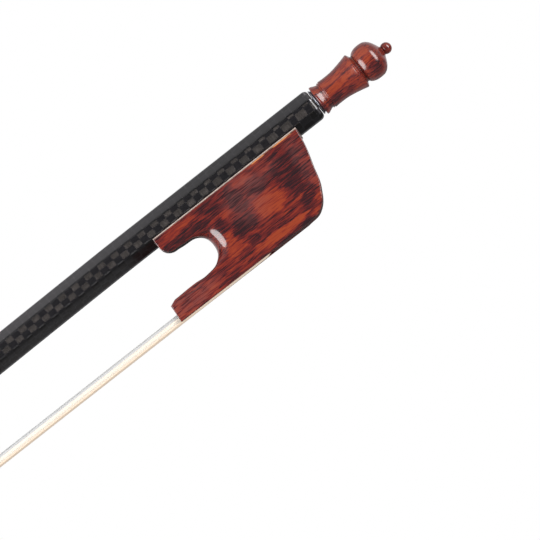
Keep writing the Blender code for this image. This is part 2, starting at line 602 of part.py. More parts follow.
def make_screw(bow):
    """The screw, the button on its shank and the collar between the button and the stick."""
    along = (0, -math.pi / 2, 0)
    tip = SCREW_RADIUS / 2
    reach = SCREW_REACH
    shank = SHANK_DEPTH + COLLAR_LENGTH
    profile = ((0, reach), (tip, reach), (SCREW_RADIUS, reach - tip), (SCREW_RADIUS, -shank), (0, -shank))
    turned(bow, "screw", profile, bow.steel, (BUTT_X, 0, AXIS_HEIGHT), along, 20)

    hole = SCREW_RADIUS + SEAT_GAP
    ring = (
        (hole, -SEAT_GAP), (COLLAR_RADIUS, -SEAT_GAP),
        (COLLAR_RADIUS, SEAT_GAP / 2 - COLLAR_LENGTH), (hole, SEAT_GAP / 2 - COLLAR_LENGTH),
    )
    turned(bow, "button_collar", ring, bow.silver, (BUTT_X, 0, AXIS_HEIGHT), along, closed=True)

    depth = SHANK_DEPTH + SEAT_GAP
    outside = [(radius * MM, -place * MM) for place, radius in BUTTON_PROFILE]
    profile = [(0, -depth), (hole, -depth), (hole, 0), *outside, *ball_profile()]
    turned(bow, "button", profile, bow.snakewood, (BUTTON_X, 0, AXIS_HEIGHT), along)


def main():
    """Build the bow."""
    clear_scene()
    bow = Bow()
    make_stick(bow)
    make_hair(bow)
    make_frog(bow)
    make_underslide(bow)
    make_eyelet(bow)
    make_wedge(bow)
    for anchor in (HEAD_ANCHOR, FROG_ANCHOR):
        make_anchor(bow, anchor)
    make_screw(bow)


main()
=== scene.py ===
"""Looks of a baroque violin bow: carbon stick, snakewood frog and button, white horsehair.

Every piece is built in the bow's own frame: +X from the head to the button, +Z from the hair to the
stick, Y = 0 the plane of symmetry, and the origin in the middle of the hair's playing face.
"""
import json
import logging
import math
import random
from dataclasses import dataclass, fields
from enum import Enum
from typing import Callable, Optional, Sequence

import bmesh
import bpy
from mathutils import Matrix, Vector


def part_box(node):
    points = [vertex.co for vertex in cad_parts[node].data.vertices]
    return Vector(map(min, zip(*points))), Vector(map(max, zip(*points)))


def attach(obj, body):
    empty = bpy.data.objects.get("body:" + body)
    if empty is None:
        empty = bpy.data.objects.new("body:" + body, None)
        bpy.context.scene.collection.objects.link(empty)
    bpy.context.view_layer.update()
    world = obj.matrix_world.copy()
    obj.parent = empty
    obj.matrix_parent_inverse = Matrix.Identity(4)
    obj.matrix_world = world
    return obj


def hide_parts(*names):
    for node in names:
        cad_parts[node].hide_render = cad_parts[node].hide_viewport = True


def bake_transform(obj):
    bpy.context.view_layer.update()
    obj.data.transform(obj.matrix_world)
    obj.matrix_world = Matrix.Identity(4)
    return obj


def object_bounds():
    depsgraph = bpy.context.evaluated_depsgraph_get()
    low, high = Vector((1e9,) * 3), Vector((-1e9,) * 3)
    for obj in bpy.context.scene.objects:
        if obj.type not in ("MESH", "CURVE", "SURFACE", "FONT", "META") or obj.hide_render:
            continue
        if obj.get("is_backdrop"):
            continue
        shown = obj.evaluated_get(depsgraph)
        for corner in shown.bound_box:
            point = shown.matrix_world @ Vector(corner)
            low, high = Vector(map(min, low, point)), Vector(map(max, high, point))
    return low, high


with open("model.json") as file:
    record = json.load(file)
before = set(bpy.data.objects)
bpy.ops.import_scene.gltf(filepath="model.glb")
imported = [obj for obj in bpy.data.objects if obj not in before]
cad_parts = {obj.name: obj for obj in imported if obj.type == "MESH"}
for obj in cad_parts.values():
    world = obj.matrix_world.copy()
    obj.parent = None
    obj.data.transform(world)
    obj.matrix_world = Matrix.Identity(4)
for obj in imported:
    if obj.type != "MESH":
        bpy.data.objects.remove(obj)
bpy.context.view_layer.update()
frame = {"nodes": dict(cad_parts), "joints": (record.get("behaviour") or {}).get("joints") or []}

LOG = logging.getLogger("baroque_bow")
MM = 0.001
FLAT_RATIO = math.tan(math.pi / 8)  # half a facet over half the flats, on an eight-sided section
HANDLE_FLATS = 8.1 * MM             # the handle's thickness from flat to flat
TONGUE_REACH = 7.2 * MM             # how far the frog's tongue reaches in front of its top
LINE_DROP = 0.2 * MM                # from the edge of the handle's side facet down to the frog's top
FRONT_LIP = 0.4 * MM                # how far the frog and its lining reach in front of the corner
HAIR_EXIT = 21.0 * MM               # from the frog's front corner to its mortise's rear wall
COLLAR_LENGTH = 0.9 * MM
SCREW_BORE = 1.7 * MM               # radius of the hole in the button and in the collar
POLE = 0.02 * MM                    # radius of the tiny face that ends a turned piece
WEAVE = "weave"                     # the stick's UV map

Point = tuple[float, float, float]
Ring = list[Vector]


class Body(Enum):
    """The three groups of pieces that move against each other."""

    STICK = "stick_body"
    FROG = "frog_body"
    SCREW = "screw_body"


class Slot(Enum):
    """The record's material slots."""

    CARBON = "carbon"
    SNAKEWOOD = "snakewood"
    SILVER = "nickel_silver"
    BRASS = "brass"
    STEEL = "steel"
    HAIR = "horsehair"
    LIMEWOOD = "limewood"
    THREAD = "thread"


@dataclass(frozen=True)
class Plan:
    """Places of the bow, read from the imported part."""

    butt_x: float
    axis_z: float
    tongue_x: float
    frog_rear_x: float

    @classmethod
    def read(cls) -> "Plan":
        """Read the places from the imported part.

        Returns:
            The plan.
        """
        turn = next(joint for joint in frame["joints"] if joint["name"] == "screw_turn")
        low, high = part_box("frog")
        return cls(turn["pos_m"][0], turn["pos_m"][2], low.x, high.x)

    @property
    def throat_x(self) -> float:
        """The head's throat, as far in front of the middle as the tongue is behind it."""
        return -self.tongue_x

    @property
    def frog_x(self) -> float:
        """The frog's front top corner."""
        return self.tongue_x + TONGUE_REACH

    @property
    def front_x(self) -> float:
        """The front end of the frog's top and of its lining."""
        return self.frog_x - FRONT_LIP

    @property
    def wall_x(self) -> float:
        """The rear wall of the frog's mortise."""
        return self.frog_x + HAIR_EXIT

    @property
    def line_z(self) -> float:
        """The top line of the frog's outline."""
        return self.axis_z - HANDLE_FLATS / 2 * FLAT_RATIO - LINE_DROP


# Modelling helpers

def deselect_all() -> None:
    """Leave edit mode and deselect every object."""
    if bpy.context.object and bpy.context.object.mode != "OBJECT":
        bpy.ops.object.mode_set(mode="OBJECT")
    bpy.ops.object.select_all(action="DESELECT")


def activate(piece: bpy.types.Object) -> None:
    """Make a piece the active object and the only selected one.

    Args:
        piece: the piece.
    """
    deselect_all()
    piece.select_set(True)
    bpy.context.view_layer.objects.active = piece


def place_ring(piece: bpy.types.Object, number: int, ring: Ring) -> None:
    """Number the selected vertices as a section, and move each to its point.

    Args:
        piece: the piece, in edit mode.
        number: the section's number.
        ring: the section's points, one for each spoke.
    """
    shape = bmesh.from_edit_mesh(piece.data)
    ring_layer = shape.verts.layers.int["ring"]
    spoke_layer = shape.verts.layers.int["spoke"]
    for vert in shape.verts:
        if vert.select:
            vert[ring_layer] = number
            vert.co = ring[vert[spoke_layer]]
    bmesh.update_edit_mesh(piece.data)


def grow(name: str, rings: Sequence[Ring], closed_ends: bool = True) -> bpy.types.Object:
    """Extrude a circle ring by ring along a row of sections.

    Args:
        name: name of the piece.
        rings: sections with the same number of points each, in order.
        closed_ends: fill the first and the last section.

    Returns:
        The piece, with integer layers "ring" and "spoke" on its vertices.
    """
    deselect_all()
    bpy.ops.mesh.primitive_circle_add(vertices=len(rings[0]), radius=MM)
    piece = bpy.context.object
    piece.name = name
    piece.data.name = name
    bpy.ops.object.mode_set(mode="EDIT")
    shape = bmesh.from_edit_mesh(piece.data)
    shape.verts.layers.int.new("ring")
    spoke_layer = shape.verts.layers.int.new("spoke")
    for spoke, vert in enumerate(shape.verts):
        vert[spoke_layer] = spoke
    bmesh.update_edit_mesh(piece.data)
    bpy.ops.mesh.select_all(action="SELECT")
    place_ring(piece, 0, rings[0])
    if closed_ends:
        bpy.ops.mesh.edge_face_add()
        bpy.ops.mesh.select_all(action="SELECT")
    for number, ring in enumerate(rings[1:], 1):
        bpy.ops.mesh.extrude_edges_move()
        place_ring(piece, number, ring)
    if closed_ends:
        bpy.ops.mesh.edge_face_add()
    bpy.ops.mesh.select_all(action="SELECT")
    bpy.ops.mesh.normals_make_consistent(inside=False)
    bpy.ops.object.mode_set(mode="OBJECT")
    return piece


def smooth(piece: bpy.types.Object, degrees: float) -> None:
    """Shade a piece smooth, with sharp edges past an angle."""
    activate(piece)
    bpy.ops.object.shade_smooth_by_angle(angle=math.radians(degrees))


def apply_modifier(piece: bpy.types.Object, kind: str, **settings: object) -> None:
    """Give a piece a modifier with some settings, and apply it.

    Args:
        piece: the piece.
        kind: the modifier's type.
        **settings: the modifier's settings.
    """
    activate(piece)
    step = piece.modifiers.new(kind.lower(), kind)
    for name, value in settings.items():
        setattr(step, name, value)
    bpy.ops.object.modifier_apply(modifier=step.name)


def take_normals(piece: bpy.types.Object, source: bpy.types.Object, share: float) -> None:
    """Shade a piece partly like the surface that it lies on.

    Args:
        piece: the piece.
        source: the piece with that surface.
        share: how far the shading follows it, up to 1.
    """
    apply_modifier(
        piece, "DATA_TRANSFER", object=source, use_loop_data=True, data_types_loops={"CUSTOM_NORMAL"},
        loop_mapping="POLYINTERP_NEAREST", mix_factor=share,
    )


def cut(piece: bpy.types.Object, cutter: bpy.types.Object) -> None:
    """Take a cutter away from a piece, and delete the cutter."""
    apply_modifier(piece, "BOOLEAN", operation="DIFFERENCE", object=cutter)
    bpy.data.objects.remove(cutter, do_unlink=True)


def block(name: str, low: Point, high: Point) -> bpy.types.Object:
    """Return a box between two corners, for cutting.

    Args:
        name: its name.
        low: its lowest corner.
        high: its highest corner.

    Returns:
        The box.
    """
    deselect_all()
    middle = [(a + b) / 2 for a, b in zip(low, high)]
    size = [b - a for a, b in zip(low, high)]
    bpy.ops.mesh.primitive_cube_add(size=1.0, location=middle, scale=size)
    made = bpy.context.object
    made.name = name
    bpy.ops.object.transform_apply(location=True, rotation=True, scale=True)
    return made


def clamp(value: float) -> float:
    """Return a value held between 0 and 1."""
    return min(max(value, 0.0), 1.0)


def monotone(places: Sequence[float], values: Sequence[float]) -> Callable[[float], float]:
    """Return a smooth curve through values that never overshoots them.

    Args:
        places: rising places.
        values: one value for each place.

    Returns:
        A function from a place to a value.
    """
    steps = [b - a for a, b in zip(places, places[1:])]
    slopes = [(b - a) / step for a, b, step in zip(values, values[1:], steps)]
    tangents = [slopes[0]]
    for before, after, left, right in zip(slopes, slopes[1:], steps, steps[1:]):
        if before * after <= 0:
            tangents.append(0.0)
        else:
            w1, w2 = 2 * right + left, right + 2 * left
            tangents.append((w1 + w2) / (w1 / before + w2 / after))
    tangents.append(slopes[-1])

    def at(place: float) -> float:
        """Return the value at a place.

        Args:
            place: the place, held between the first and the last one.

        Returns:
            The value.
        """
        i = 0
        while i < len(steps) - 1 and place > places[i + 1]:
            i += 1
        t = clamp((place - places[i]) / steps[i])
        return (
            values[i] * (1 + 2 * t) * (1 - t) ** 2 + tangents[i] * steps[i] * t * (1 - t) ** 2
            + values[i + 1] * t * t * (3 - 2 * t) + tangents[i + 1] * steps[i] * t * t * (t - 1)
        )

    return at


def steps_between(start: float, end: float, count: int) -> list[float]:
    """Return evenly spaced values from start to end, both included."""
    return [start + (end - start) * i / count for i in range(count + 1)]


def turns(count: int) -> list[float]:
    """Return evenly spaced angles round a circle."""
    return steps_between(0.0, 2 * math.pi, count)[:-1]


def eight_sided(flats: float, z: float) -> list[tuple[float, float]]:
    """Return the +Y corners of an eight-sided section, from crown to sole, as (y, z)."""
    half, side = flats / 2, flats / 2 * FLAT_RATIO
    return [(side, z + half), (half, z + side), (half, z - side), (side, z - half)]


def mirrored(half: Sequence[tuple[float, float]]) -> list[tuple[float, float]]:
    """Return the corners of a +Y half, followed by their mirror images from sole to crown."""
    return [*half, *((-y, z) for y, z in reversed(half))]


def shade(colour: Point, amount: float) -> Point:
    """Return a colour times an amount."""
    return tuple(amount * part for part in colour)


# Finishes

class Value:
    """An output of a shader node, for plain arithmetic with numbers and other outputs."""

    def __init__(self, graph: "Graph", socket: bpy.types.NodeSocket) -> None:
        """Keep the output and its graph."""
        self.graph = graph
        self.socket = socket

    def math(self, operation: str, *others: "Value | float") -> "Value":
        """Return what a math node makes of this value and others."""
        return self.graph.math(operation, self, *others)

    def __add__(self, other: "Value | float") -> "Value":
        """Return the sum."""
        return self.math("ADD", other)

    def __sub__(self, other: "Value | float") -> "Value":
        """Return the difference."""
        return self.math("SUBTRACT", other)

    def __rsub__(self, other: float) -> "Value":
        """Return a number less this value."""
        return self.graph.math("SUBTRACT", other, self)

    def __mul__(self, other: "Value | float") -> "Value":
        """Return the product."""
        return self.math("MULTIPLY", other)

    def __abs__(self) -> "Value":
        """Return the value without its sign."""
        return self.math("ABSOLUTE")

    def eased(self, low: float, high: float, to_low: float = 0.0, to_high: float = 1.0) -> "Value":
        """Return the value mapped smoothly from one range to another, and held inside it."""
        settings = {"interpolation_type": "SMOOTHSTEP"}
        return self.graph.value("MapRange", 0, settings, i0=self, i1=low, i2=high, i3=to_low, i4=to_high)


def greatest(values: Sequence[Value]) -> Value:
    """Return the greatest of some values.

    Args:
        values: the values, at least one.

    Returns:
        The greatest.
    """
    found = values[0]
    for value in values[1:]:
        found = found.math("MAXIMUM", value)
    return found


class Graph:
    """Adds and links the nodes of one material or of the world."""

    def __init__(self, owner: bpy.types.ID) -> None:
        """Open the node tree of a material or a world.

        Args:
            owner: the material or the world.
        """
        owner.use_nodes = True
        self.owner = owner
        self.tree = owner.node_tree
        self.shader = self.tree.nodes.get("Principled BSDF")

    def feed(self, node: bpy.types.Node, **inputs: object) -> None:
        """Set or link a node's inputs, by name with underscores for spaces, or by number as i0 or i1.

        Args:
            node: the node.
            **inputs: numbers, colours, vectors or outputs of other nodes.
        """
        for name, value in inputs.items():
            numbered = name[0] == "i" and name[1:].isdigit()
            socket = node.inputs[int(name[1:]) if numbered else name.replace("_", " ")]
            if isinstance(value, Value):
                self.tree.links.new(value.socket, socket)
            elif isinstance(value, tuple) and len(value) < len(socket.default_value):
                socket.default_value = (*value, 1.0)
            else:
                socket.default_value = value

    def value(
        self, kind: str, output: int | str = 0, settings: Optional[dict] = None, **inputs: object,
    ) -> Value:
        """Add a node.

        Args:
            kind: its type, without the prefix.
            output: the name or number of the wanted output.
            settings: its own properties.
            **inputs: its inputs, as for feed.

        Returns:
            The wanted output.
        """
        node = self.tree.nodes.new("ShaderNode" + kind)
        for name, setting in (settings or {}).items():
            setattr(node, name, setting)
        self.feed(node, **inputs)
        return Value(self, node.outputs[output])

    def math(self, operation: str, *values: Value | float) -> Value:
        """Return the result of a math node."""
        inputs = {f"i{i}": value for i, value in enumerate(values)}
        return self.value("Math", settings={"operation": operation}, **inputs)

    def split(self, vector: Value) -> list[Value]:
        """Return the three parts of a vector or a colour."""
        node = self.value("SeparateXYZ", Vector=vector).socket.node
        return [Value(self, socket) for socket in node.outputs]

    def noise(
        self, vector: Value, scale: float | Point, detail: float = 2.0, rough: float = 0.5,
        offset: Point = (0, 0, 0), output: int = 0,
    ) -> Value:
        """Return a noise texture.

        Args:
            vector: the coordinates.
            scale: its scale, one number or one for each axis.
            detail: octaves of finer noise.
            rough: strength of each octave over the one before.
            offset: moves the noise, where the scale has one number for each axis.
            output: 0 for its factor, 1 for its colour.

        Returns:
            The factor or the colour.
        """
        if isinstance(scale, tuple):
            vector = self.value("Mapping", Vector=vector, Scale=scale, Location=offset)
            scale = 1.0
        return self.value("TexNoise", output, Vector=vector, Scale=scale, Detail=detail, Roughness=rough)

    def mix(self, factor: Value | float, first: Value | Point, second: Value | Point) -> Value:
        """Return two colours mixed."""
        return self.value("Mix", 2, {"data_type": "RGBA"}, i0=factor, i6=first, i7=second)

    def scale(self, colour: Value | Point, amount: Value) -> Value:
        """Return a colour times an amount."""
        return self.value("VectorMath", settings={"operation": "SCALE"}, i0=colour, i3=amount)

    def bump(self, height: Value, distance: float, strength: float) -> Value:
        """Return a normal that a height field disturbs."""
        return self.value("Bump", Height=height, Distance=distance, Strength=strength)

    def ramp(self, factor: Value, stops: Sequence[tuple[float, Point]]) -> Value:
        """Return a colour from a ramp of places and colours.

        Args:
            factor: the place on the ramp, from 0 to 1.
            stops: the ramp's places and colours.

        Returns:
            The colour.
        """
        found = self.value("ValToRGB", Fac=factor)
        elements = found.socket.node.color_ramp.elements
        while len(elements) < len(stops):
            elements.new(0.5)
        for element, (place, colour) in zip(elements, stops):
            element.position = place
            element.color = (*colour, 1.0)
        return found


class Finish:
    """A procedural material."""

    def paint(self, graph: Graph, place: Value) -> None:
        """Add the material's nodes.

        Args:
            graph: the material's nodes and links.
            place: the piece's own coordinates.
        """
        raise NotImplementedError

    def build(self, name: str) -> bpy.types.Material:
        """Return the material.

        Args:
            name: its name.

        Returns:
            The material.
        """
        graph = Graph(bpy.data.materials.new(name))
        self.paint(graph, graph.value("TexCoord", "Object"))
        return graph.owner


@dataclass(frozen=True)
class CarbonFinish(Finish):
    """Plain-weave carbon under a clear coat. The UV map counts tows along the bow and rows round it.

    Attributes:
        hoop: colour of the tows that run round the bow.
        glint: colour of their brightest patches.
        axial: colour of the tows that run along the bow.
        slanted: colour painted over the slanted facets as the clear coat's reflection, in place of the weave.
        edge_colour: colour of the painted shade line along the flank's upper corner.
        dash_colour: colour of the weave's dashes, painted lighter where light catches the flank's lower
            corner.
        top_edge: row of that painted shade line, at the flank's upper corner.
        low_edge: row of those painted light dashes, under the flank.
        shaft_from: places where the head's look fades into the shaft's.
    """

    hoop: Point = (0.024, 0.0215, 0.0205)
    axial: Point = (0.080, 0.076, 0.084)
    glint: Point = (0.038, 0.0335, 0.032)
    slanted: Point = (0.082, 0.076, 0.079)
    edge_colour: Point = (0.008, 0.008, 0.009)
    dash_colour: Point = (0.055, 0.055, 0.058)
    top_edge: float = 2.06
    low_edge: float = -0.10
    shaft_from: tuple[float, float] = (-0.290, -0.255)

    def paint(self, graph: Graph, place: Value) -> None:
        """Add the weave, its fibres, the painted reflection and shade on the facets and corners, and the
        clear coat.

        Args:
            graph: the material's nodes and links.
            place: the piece's own coordinates.
        """
        uv = graph.value("UVMap", settings={"uv_map": WEAVE})
        tow, row, _ = graph.split(uv)
        shift_along, shift_round, _ = graph.split(graph.noise(uv, 0.75, 1.0, output=1))
        along = shift_along * 0.16 + tow - 0.08
        around = shift_round * 0.12 + row - 0.06
        place_x = graph.split(place)[0]
        facing_up = graph.split(graph.value("TexCoord", "Normal"))[2]
        from_head = place_x.eased(*self.shaft_from)

        # Where hoop tows lie on top: rounded cells, wider towards the butt.
        tow_wave = (along * math.pi).math("COSINE") + place_x.eased(0.300, 0.365, 0.0, 0.45)
        row_wave = (around * math.pi).math("SINE")
        corners = abs(tow_wave + row_wave) - abs(tow_wave - row_wave)
        cells = corners * 0.3 + tow_wave * row_wave * 0.4
        mask = (cells - (from_head * 0.12 - 0.09)).eased(-0.045, 0.085)

        across = graph.noise(uv, (11, 1.2, 1))
        lengthwise = graph.noise(uv, (1.2, 11, 1))
        hoop = graph.mix(graph.noise(uv, 0.6, 1.0).eased(0.35, 0.7), self.hoop, self.glint)
        hoop = graph.mix(across.eased(0.35, 0.65, 0.0, 0.55), hoop, shade(self.hoop, 0.35))
        # Painted highlight and shade: within each row the hoop tows are lighter on one side and darker on the
        # other, as light falls on a rounded cell.
        painted_cell_shading = (around * (2 * math.pi) - 0.25 * math.pi).math("SINE")
        hoop = graph.mix(painted_cell_shading.eased(0.8, -1.0, 0.0, 0.5), hoop, shade(self.hoop, 0.62))
        axial = graph.mix(lengthwise.eased(0.35, 0.65, 0.0, 0.6), self.axial, shade(self.axial, 1.7))
        colour = graph.mix(mask, graph.scale(axial, from_head * 0.5 + 0.5), hoop)

        # Painted reflection: the facets that slant up or down get an even grey in place of the weave, as the
        # clear coat's reflection. It is darker on the facets that face down and on the head, and up to nearly
        # twice as light toward the head between 0.325 m and 0.265 m along the bow.
        tilted = abs(facing_up)
        slant = tilted.eased(0.25, 0.60) * tilted.eased(0.95, 0.80)
        lit = place_x.eased(0.325, 0.265, 1.0, 1.9) * facing_up.eased(-0.10, -0.40, 1.0, 0.3)
        facet = graph.scale(self.slanted, lit * (from_head * 0.3 + 0.7))
        colour = graph.mix(slant * (0.95 - from_head * 0.2), colour, facet)
        # Painted shade: a dark line along the flank's upper corner.
        edge = abs(row - self.top_edge).eased(0.17, 0.05) * from_head
        colour = graph.mix(edge * 0.8, colour, self.edge_colour)
        # Partly the weave and partly painted highlight: the weave's cells show only as light dashes along the
        # flank's lower corner, where light catches it.
        dash = abs(row - self.low_edge).eased(0.08, 0.03) * tow_wave.eased(-0.15, -0.45)
        dash = dash * from_head * place_x.eased(0.340, 0.315)
        colour = graph.mix(dash * 0.8, colour, self.dash_colour)

        calm = 1.0 - slant * (1.0 - from_head) * 0.95
        fibres = graph.mix(mask, lengthwise, across)
        height = (abs(cells).math("POWER", 0.5) * 0.7 + fibres * 0.12) * calm
        graph.feed(
            graph.shader, Base_Color=colour, Metallic=1.0, Roughness=0.5, Anisotropic=0.9,
            Anisotropic_Rotation=(0.25 - mask * 0.25) * calm,
            Tangent=graph.value("Tangent", settings={"direction_type": "UV_MAP", "uv_map": WEAVE}),
            Normal=graph.bump(height, 0.07 * MM, 0.5), Coat_Weight=1.0, Coat_Roughness=0.18, Coat_IOR=1.5,
        )


@dataclass(frozen=True)
class FigurePatch:
    """One patch of the snakewood's figure, in mm from its piece's corner.

    Attributes:
        along: place of its middle along the bow.
        up: height of its middle.
        half_along: half length.
        half_up: half height.
        depth: how dark it is, or how light where it is negative.
    """

    along: float
    up: float
    half_along: float
    half_up: float
    depth: float


SNAKEWOOD_COLOURS = (
    (0.00, (0.158, 0.0255, 0.0100)), (0.20, (0.127, 0.0170, 0.0090)), (0.42, (0.082, 0.0105, 0.0090)),
    (0.66, (0.034, 0.0070, 0.0078)), (0.92, (0.013, 0.0062, 0.0076)),
)


@dataclass(frozen=True)
class SnakewoodFinish(Finish):
    """Polished snakewood: orange to red, with ragged brown-black figure and fine streaks along the bow.

    Attributes:
        corner: place that the patches are measured from.
        patches: the large patches of the figure, both dark and light ones.
        near_y: the flank where the patches lie as written. They slant through the wood behind it.
        seed: moves the fine figure, so two pieces differ.
        streak: strength of the streaks.
        warp_along: how far the figure wanders along the bow, in mm.
        warp_up: how far it wanders in height, in mm.
        base: how dark the wood is between its patches.
        coat_roughness: how soft the polish's reflections are.
        grain_depth: depth of the grain under the polish, in mm.
        edge_glint: colour of the painted highlight, a thin line along the rear part of the top edge.
        sheen: patches of painted sheen, pale reflections mixed into the colour.
        sheen_colour: their colour.
    """

    corner: Point
    patches: tuple[FigurePatch, ...]
    near_y: float
    seed: float = 0.0
    streak: float = 1.3
    warp_along: float = 3.0
    warp_up: float = 1.6
    base: float = 0.42
    coat_roughness: float = 0.14
    grain_depth: float = 0.006
    edge_glint: Optional[Point] = None
    sheen: tuple[FigurePatch, ...] = ()
    sheen_colour: Point = (0.105, 0.044, 0.041)

    def away(self, patch: FigurePatch, x: Value, z: Value) -> Value:
        """Return how far a place is from a patch's middle, where 1 is the patch's edge.

        Args:
            patch: the patch.
            x: the place along the bow.
            z: its height.

        Returns:
            The distance as a share of the patch's half size.
        """
        middle_x = self.corner[0] + (self.warp_along / 2 + patch.along) * MM
        middle_z = self.corner[2] + (self.warp_up / 2 + patch.up) * MM
        dx = (x - middle_x) * (1 / (patch.half_along * MM))
        dz = (z - middle_z) * (1 / (patch.half_up * MM))
        return (dx * dx + dz * dz).math("SQRT")

    def paint(self, graph: Graph, place: Value) -> None:
        """Add the figure, the streaks, the pores, the painted sheen and the painted highlight, and the
        polish.

        Args:
            graph: the material's nodes and links.
            place: the piece's own coordinates.
        """
        offset = (self.seed, 0.3 * self.seed, 0.7 * self.seed)
        ripple = graph.noise(place, (140, 200, 300), offset=offset, output=1)
        warp = (self.warp_along * MM, 1.0 * MM, self.warp_up * MM)
        warped = graph.value(
            "VectorMath", settings={"operation": "MULTIPLY_ADD"}, i0=ripple, i1=warp, i2=place
        )
        streaks = graph.noise(warped, (230, 1500, 2500), 3.0, 0.6, offset)
        ragged = graph.noise(place, (380, 1500, 1900), offset=offset)
        fine = graph.noise(place, (350, 3400, 3900), 2.0, 0.6, offset)
        pores = graph.noise(place, (230, 3100, 3500), 1.0, offset=offset)
        cloud = graph.noise(warped, (120, 170, 210), offset=offset)

        x, y, z = graph.split(warped)
        behind = y - self.near_y
        slanted_x, slanted_z = behind * 0.6 + x, behind * 0.35 + z
        raggedness = (ragged * 2.0 - 1.0) * 0.9
        dark = [cloud.eased(0.50, 0.66, 0.0, 0.45) * 0.8]
        light = []
        for patch in self.patches:
            away = self.away(patch, slanted_x, slanted_z) + raggedness
            shown = away.eased(0.75, 1.2, abs(patch.depth), 0.0)
            (dark if patch.depth > 0 else light).append(shown)
        lightness = greatest(light)
        lines = (streaks - 0.5) * self.streak * (1.0 - lightness * 0.55)
        figure = greatest(dark) * 0.36 + lines + fine * 0.60 + (self.base - 0.33)
        figure = figure + pores.eased(0.52, 0.60, 0.0, 0.30) - lightness * 0.42
        colour = graph.ramp(figure, SNAKEWOOD_COLOURS)

        # Painted sheen: pale reflections mixed into the colour in patches, broken by the pores.
        between_pores = pores.eased(0.60, 0.44, 0.2, 1.25)
        for patch in self.sheen:
            amount = self.away(patch, x, z).eased(1.2, 0.4, 0.0, patch.depth) * between_pores
            colour = graph.mix(amount, colour, self.sheen_colour)
        # Painted highlight: a thin bright orange line along the rear part of the top edge, just under the top
        # line, broken up by the ragged noise.
        if self.edge_glint:
            raw_x, _, raw_z = graph.split(place)
            worn = raw_z.eased(self.corner[2] - 0.68 * MM, self.corner[2] - 0.52 * MM)
            worn = worn * raw_x.eased(self.corner[0] + 27 * MM, self.corner[0] + 30 * MM)
            colour = graph.mix(worn * ragged.eased(0.40, 0.55), colour, self.edge_glint)
        graph.feed(
            graph.shader, Base_Color=colour, Roughness=0.45, Specular_IOR_Level=0.04, Coat_Weight=1.0,
            Coat_Roughness=self.coat_roughness, Coat_IOR=1.5,
            Normal=graph.bump(streaks * 0.5 + fine, self.grain_depth * MM, 0.5),
        )


@dataclass(frozen=True)
class MetalFinish(Finish):
    """A polished or turned metal with fine scratches along one direction.

    Attributes:
        colour: its clean colour.
        roughness: how rough it is where it is clean.
        lines: scale of the scratches along each axis.
        worn: how much its haze darkens it.
        scratch: depth of the scratches, in mm.
    """

    colour: Point
    roughness: float
    lines: Point = (400, 6000, 6000)
    worn: float = 0.25
    scratch: float = 0.004

    def paint(self, graph: Graph, place: Value) -> None:
        """Add the haze and the scratches.

        Args:
            graph: the material's nodes and links.
            place: the piece's own coordinates.
        """
        haze = graph.noise(place, 700.0)
        dull = haze.eased(0.35, 0.7, 0.0, self.worn)
        scratches = graph.noise(place, self.lines, 3.0, 0.6)
        graph.feed(
            graph.shader, Metallic=1.0,
            Base_Color=graph.mix(dull, self.colour, shade(self.colour, 0.55)),
            Roughness=haze.eased(0.3, 0.7, self.roughness, self.roughness + 0.15),
            Normal=graph.bump(scratches, self.scratch * MM, 0.4),
        )


@dataclass(frozen=True)
class HorsehairFinish(Finish):
    """Bleached horsehair: nearly white at the frog, blond at the head, with fine streaks.

    Each row of colours goes from the face that plays up to the side next to the stick. The last, darker
    colour of each row is painted shade on that side.
    """

    at_frog: tuple[Point, Point, Point] = ((0.74, 0.59, 0.45), (0.53, 0.475, 0.41), (0.33, 0.33, 0.33))
    at_head: tuple[Point, Point, Point] = ((0.43, 0.36, 0.28), (0.38, 0.30, 0.21), (0.26, 0.18, 0.12))
    streak_colour: Point = (0.34, 0.24, 0.15)

    def paint(self, graph: Graph, place: Value) -> None:
        """Add the colours from face to face and from end to end, and the streaks.

        Args:
            graph: the material's nodes and links.
            place: the piece's own coordinates.
        """
        x, _, z = graph.split(place)
        streaks = graph.noise(place, (9, 4200, 4200), 2.0, 0.6)
        height = graph.noise(place, (4, 500, 700)) * (0.3 * MM) + (z - 0.15 * MM)
        low = height.eased(0.15 * MM, 0.45 * MM)
        # Painted shade: the upper band, next to the stick, takes each row's last colour, greyer and darker.
        high = height.eased(1.22 * MM, 1.45 * MM)
        ends = [
            graph.mix(high, graph.mix(low, bottom, middle), top)
            for bottom, middle, top in (self.at_head, self.at_frog)
        ]
        colour = graph.mix(x.eased(-0.20, 0.20), *ends)
        graph.feed(
            graph.shader, Roughness=0.5, Specular_IOR_Level=0.4,
            Base_Color=graph.mix(streaks.eased(0.42, 0.70, 0.0, 0.16), colour, self.streak_colour),
            Normal=graph.bump(streaks, 0.015 * MM, 0.2),
        )


@dataclass(frozen=True)
class PlainWoodFinish(Finish):
    """Raw limewood of the plugs and the wedge."""

    colour: Point = (0.56, 0.42, 0.27)

    def paint(self, graph: Graph, place: Value) -> None:
        """Add the rings of the wood.

        Args:
            graph: the material's nodes and links.
            place: the piece's own coordinates.
        """
        rings = graph.noise(place, (500, 2600, 1400), 3.0)
        colour = graph.mix(rings.eased(0.35, 0.7), self.colour, shade(self.colour, 0.7))
        graph.feed(graph.shader, Base_Color=colour, Roughness=0.7, Normal=graph.bump(rings, 0.02 * MM, 0.5))


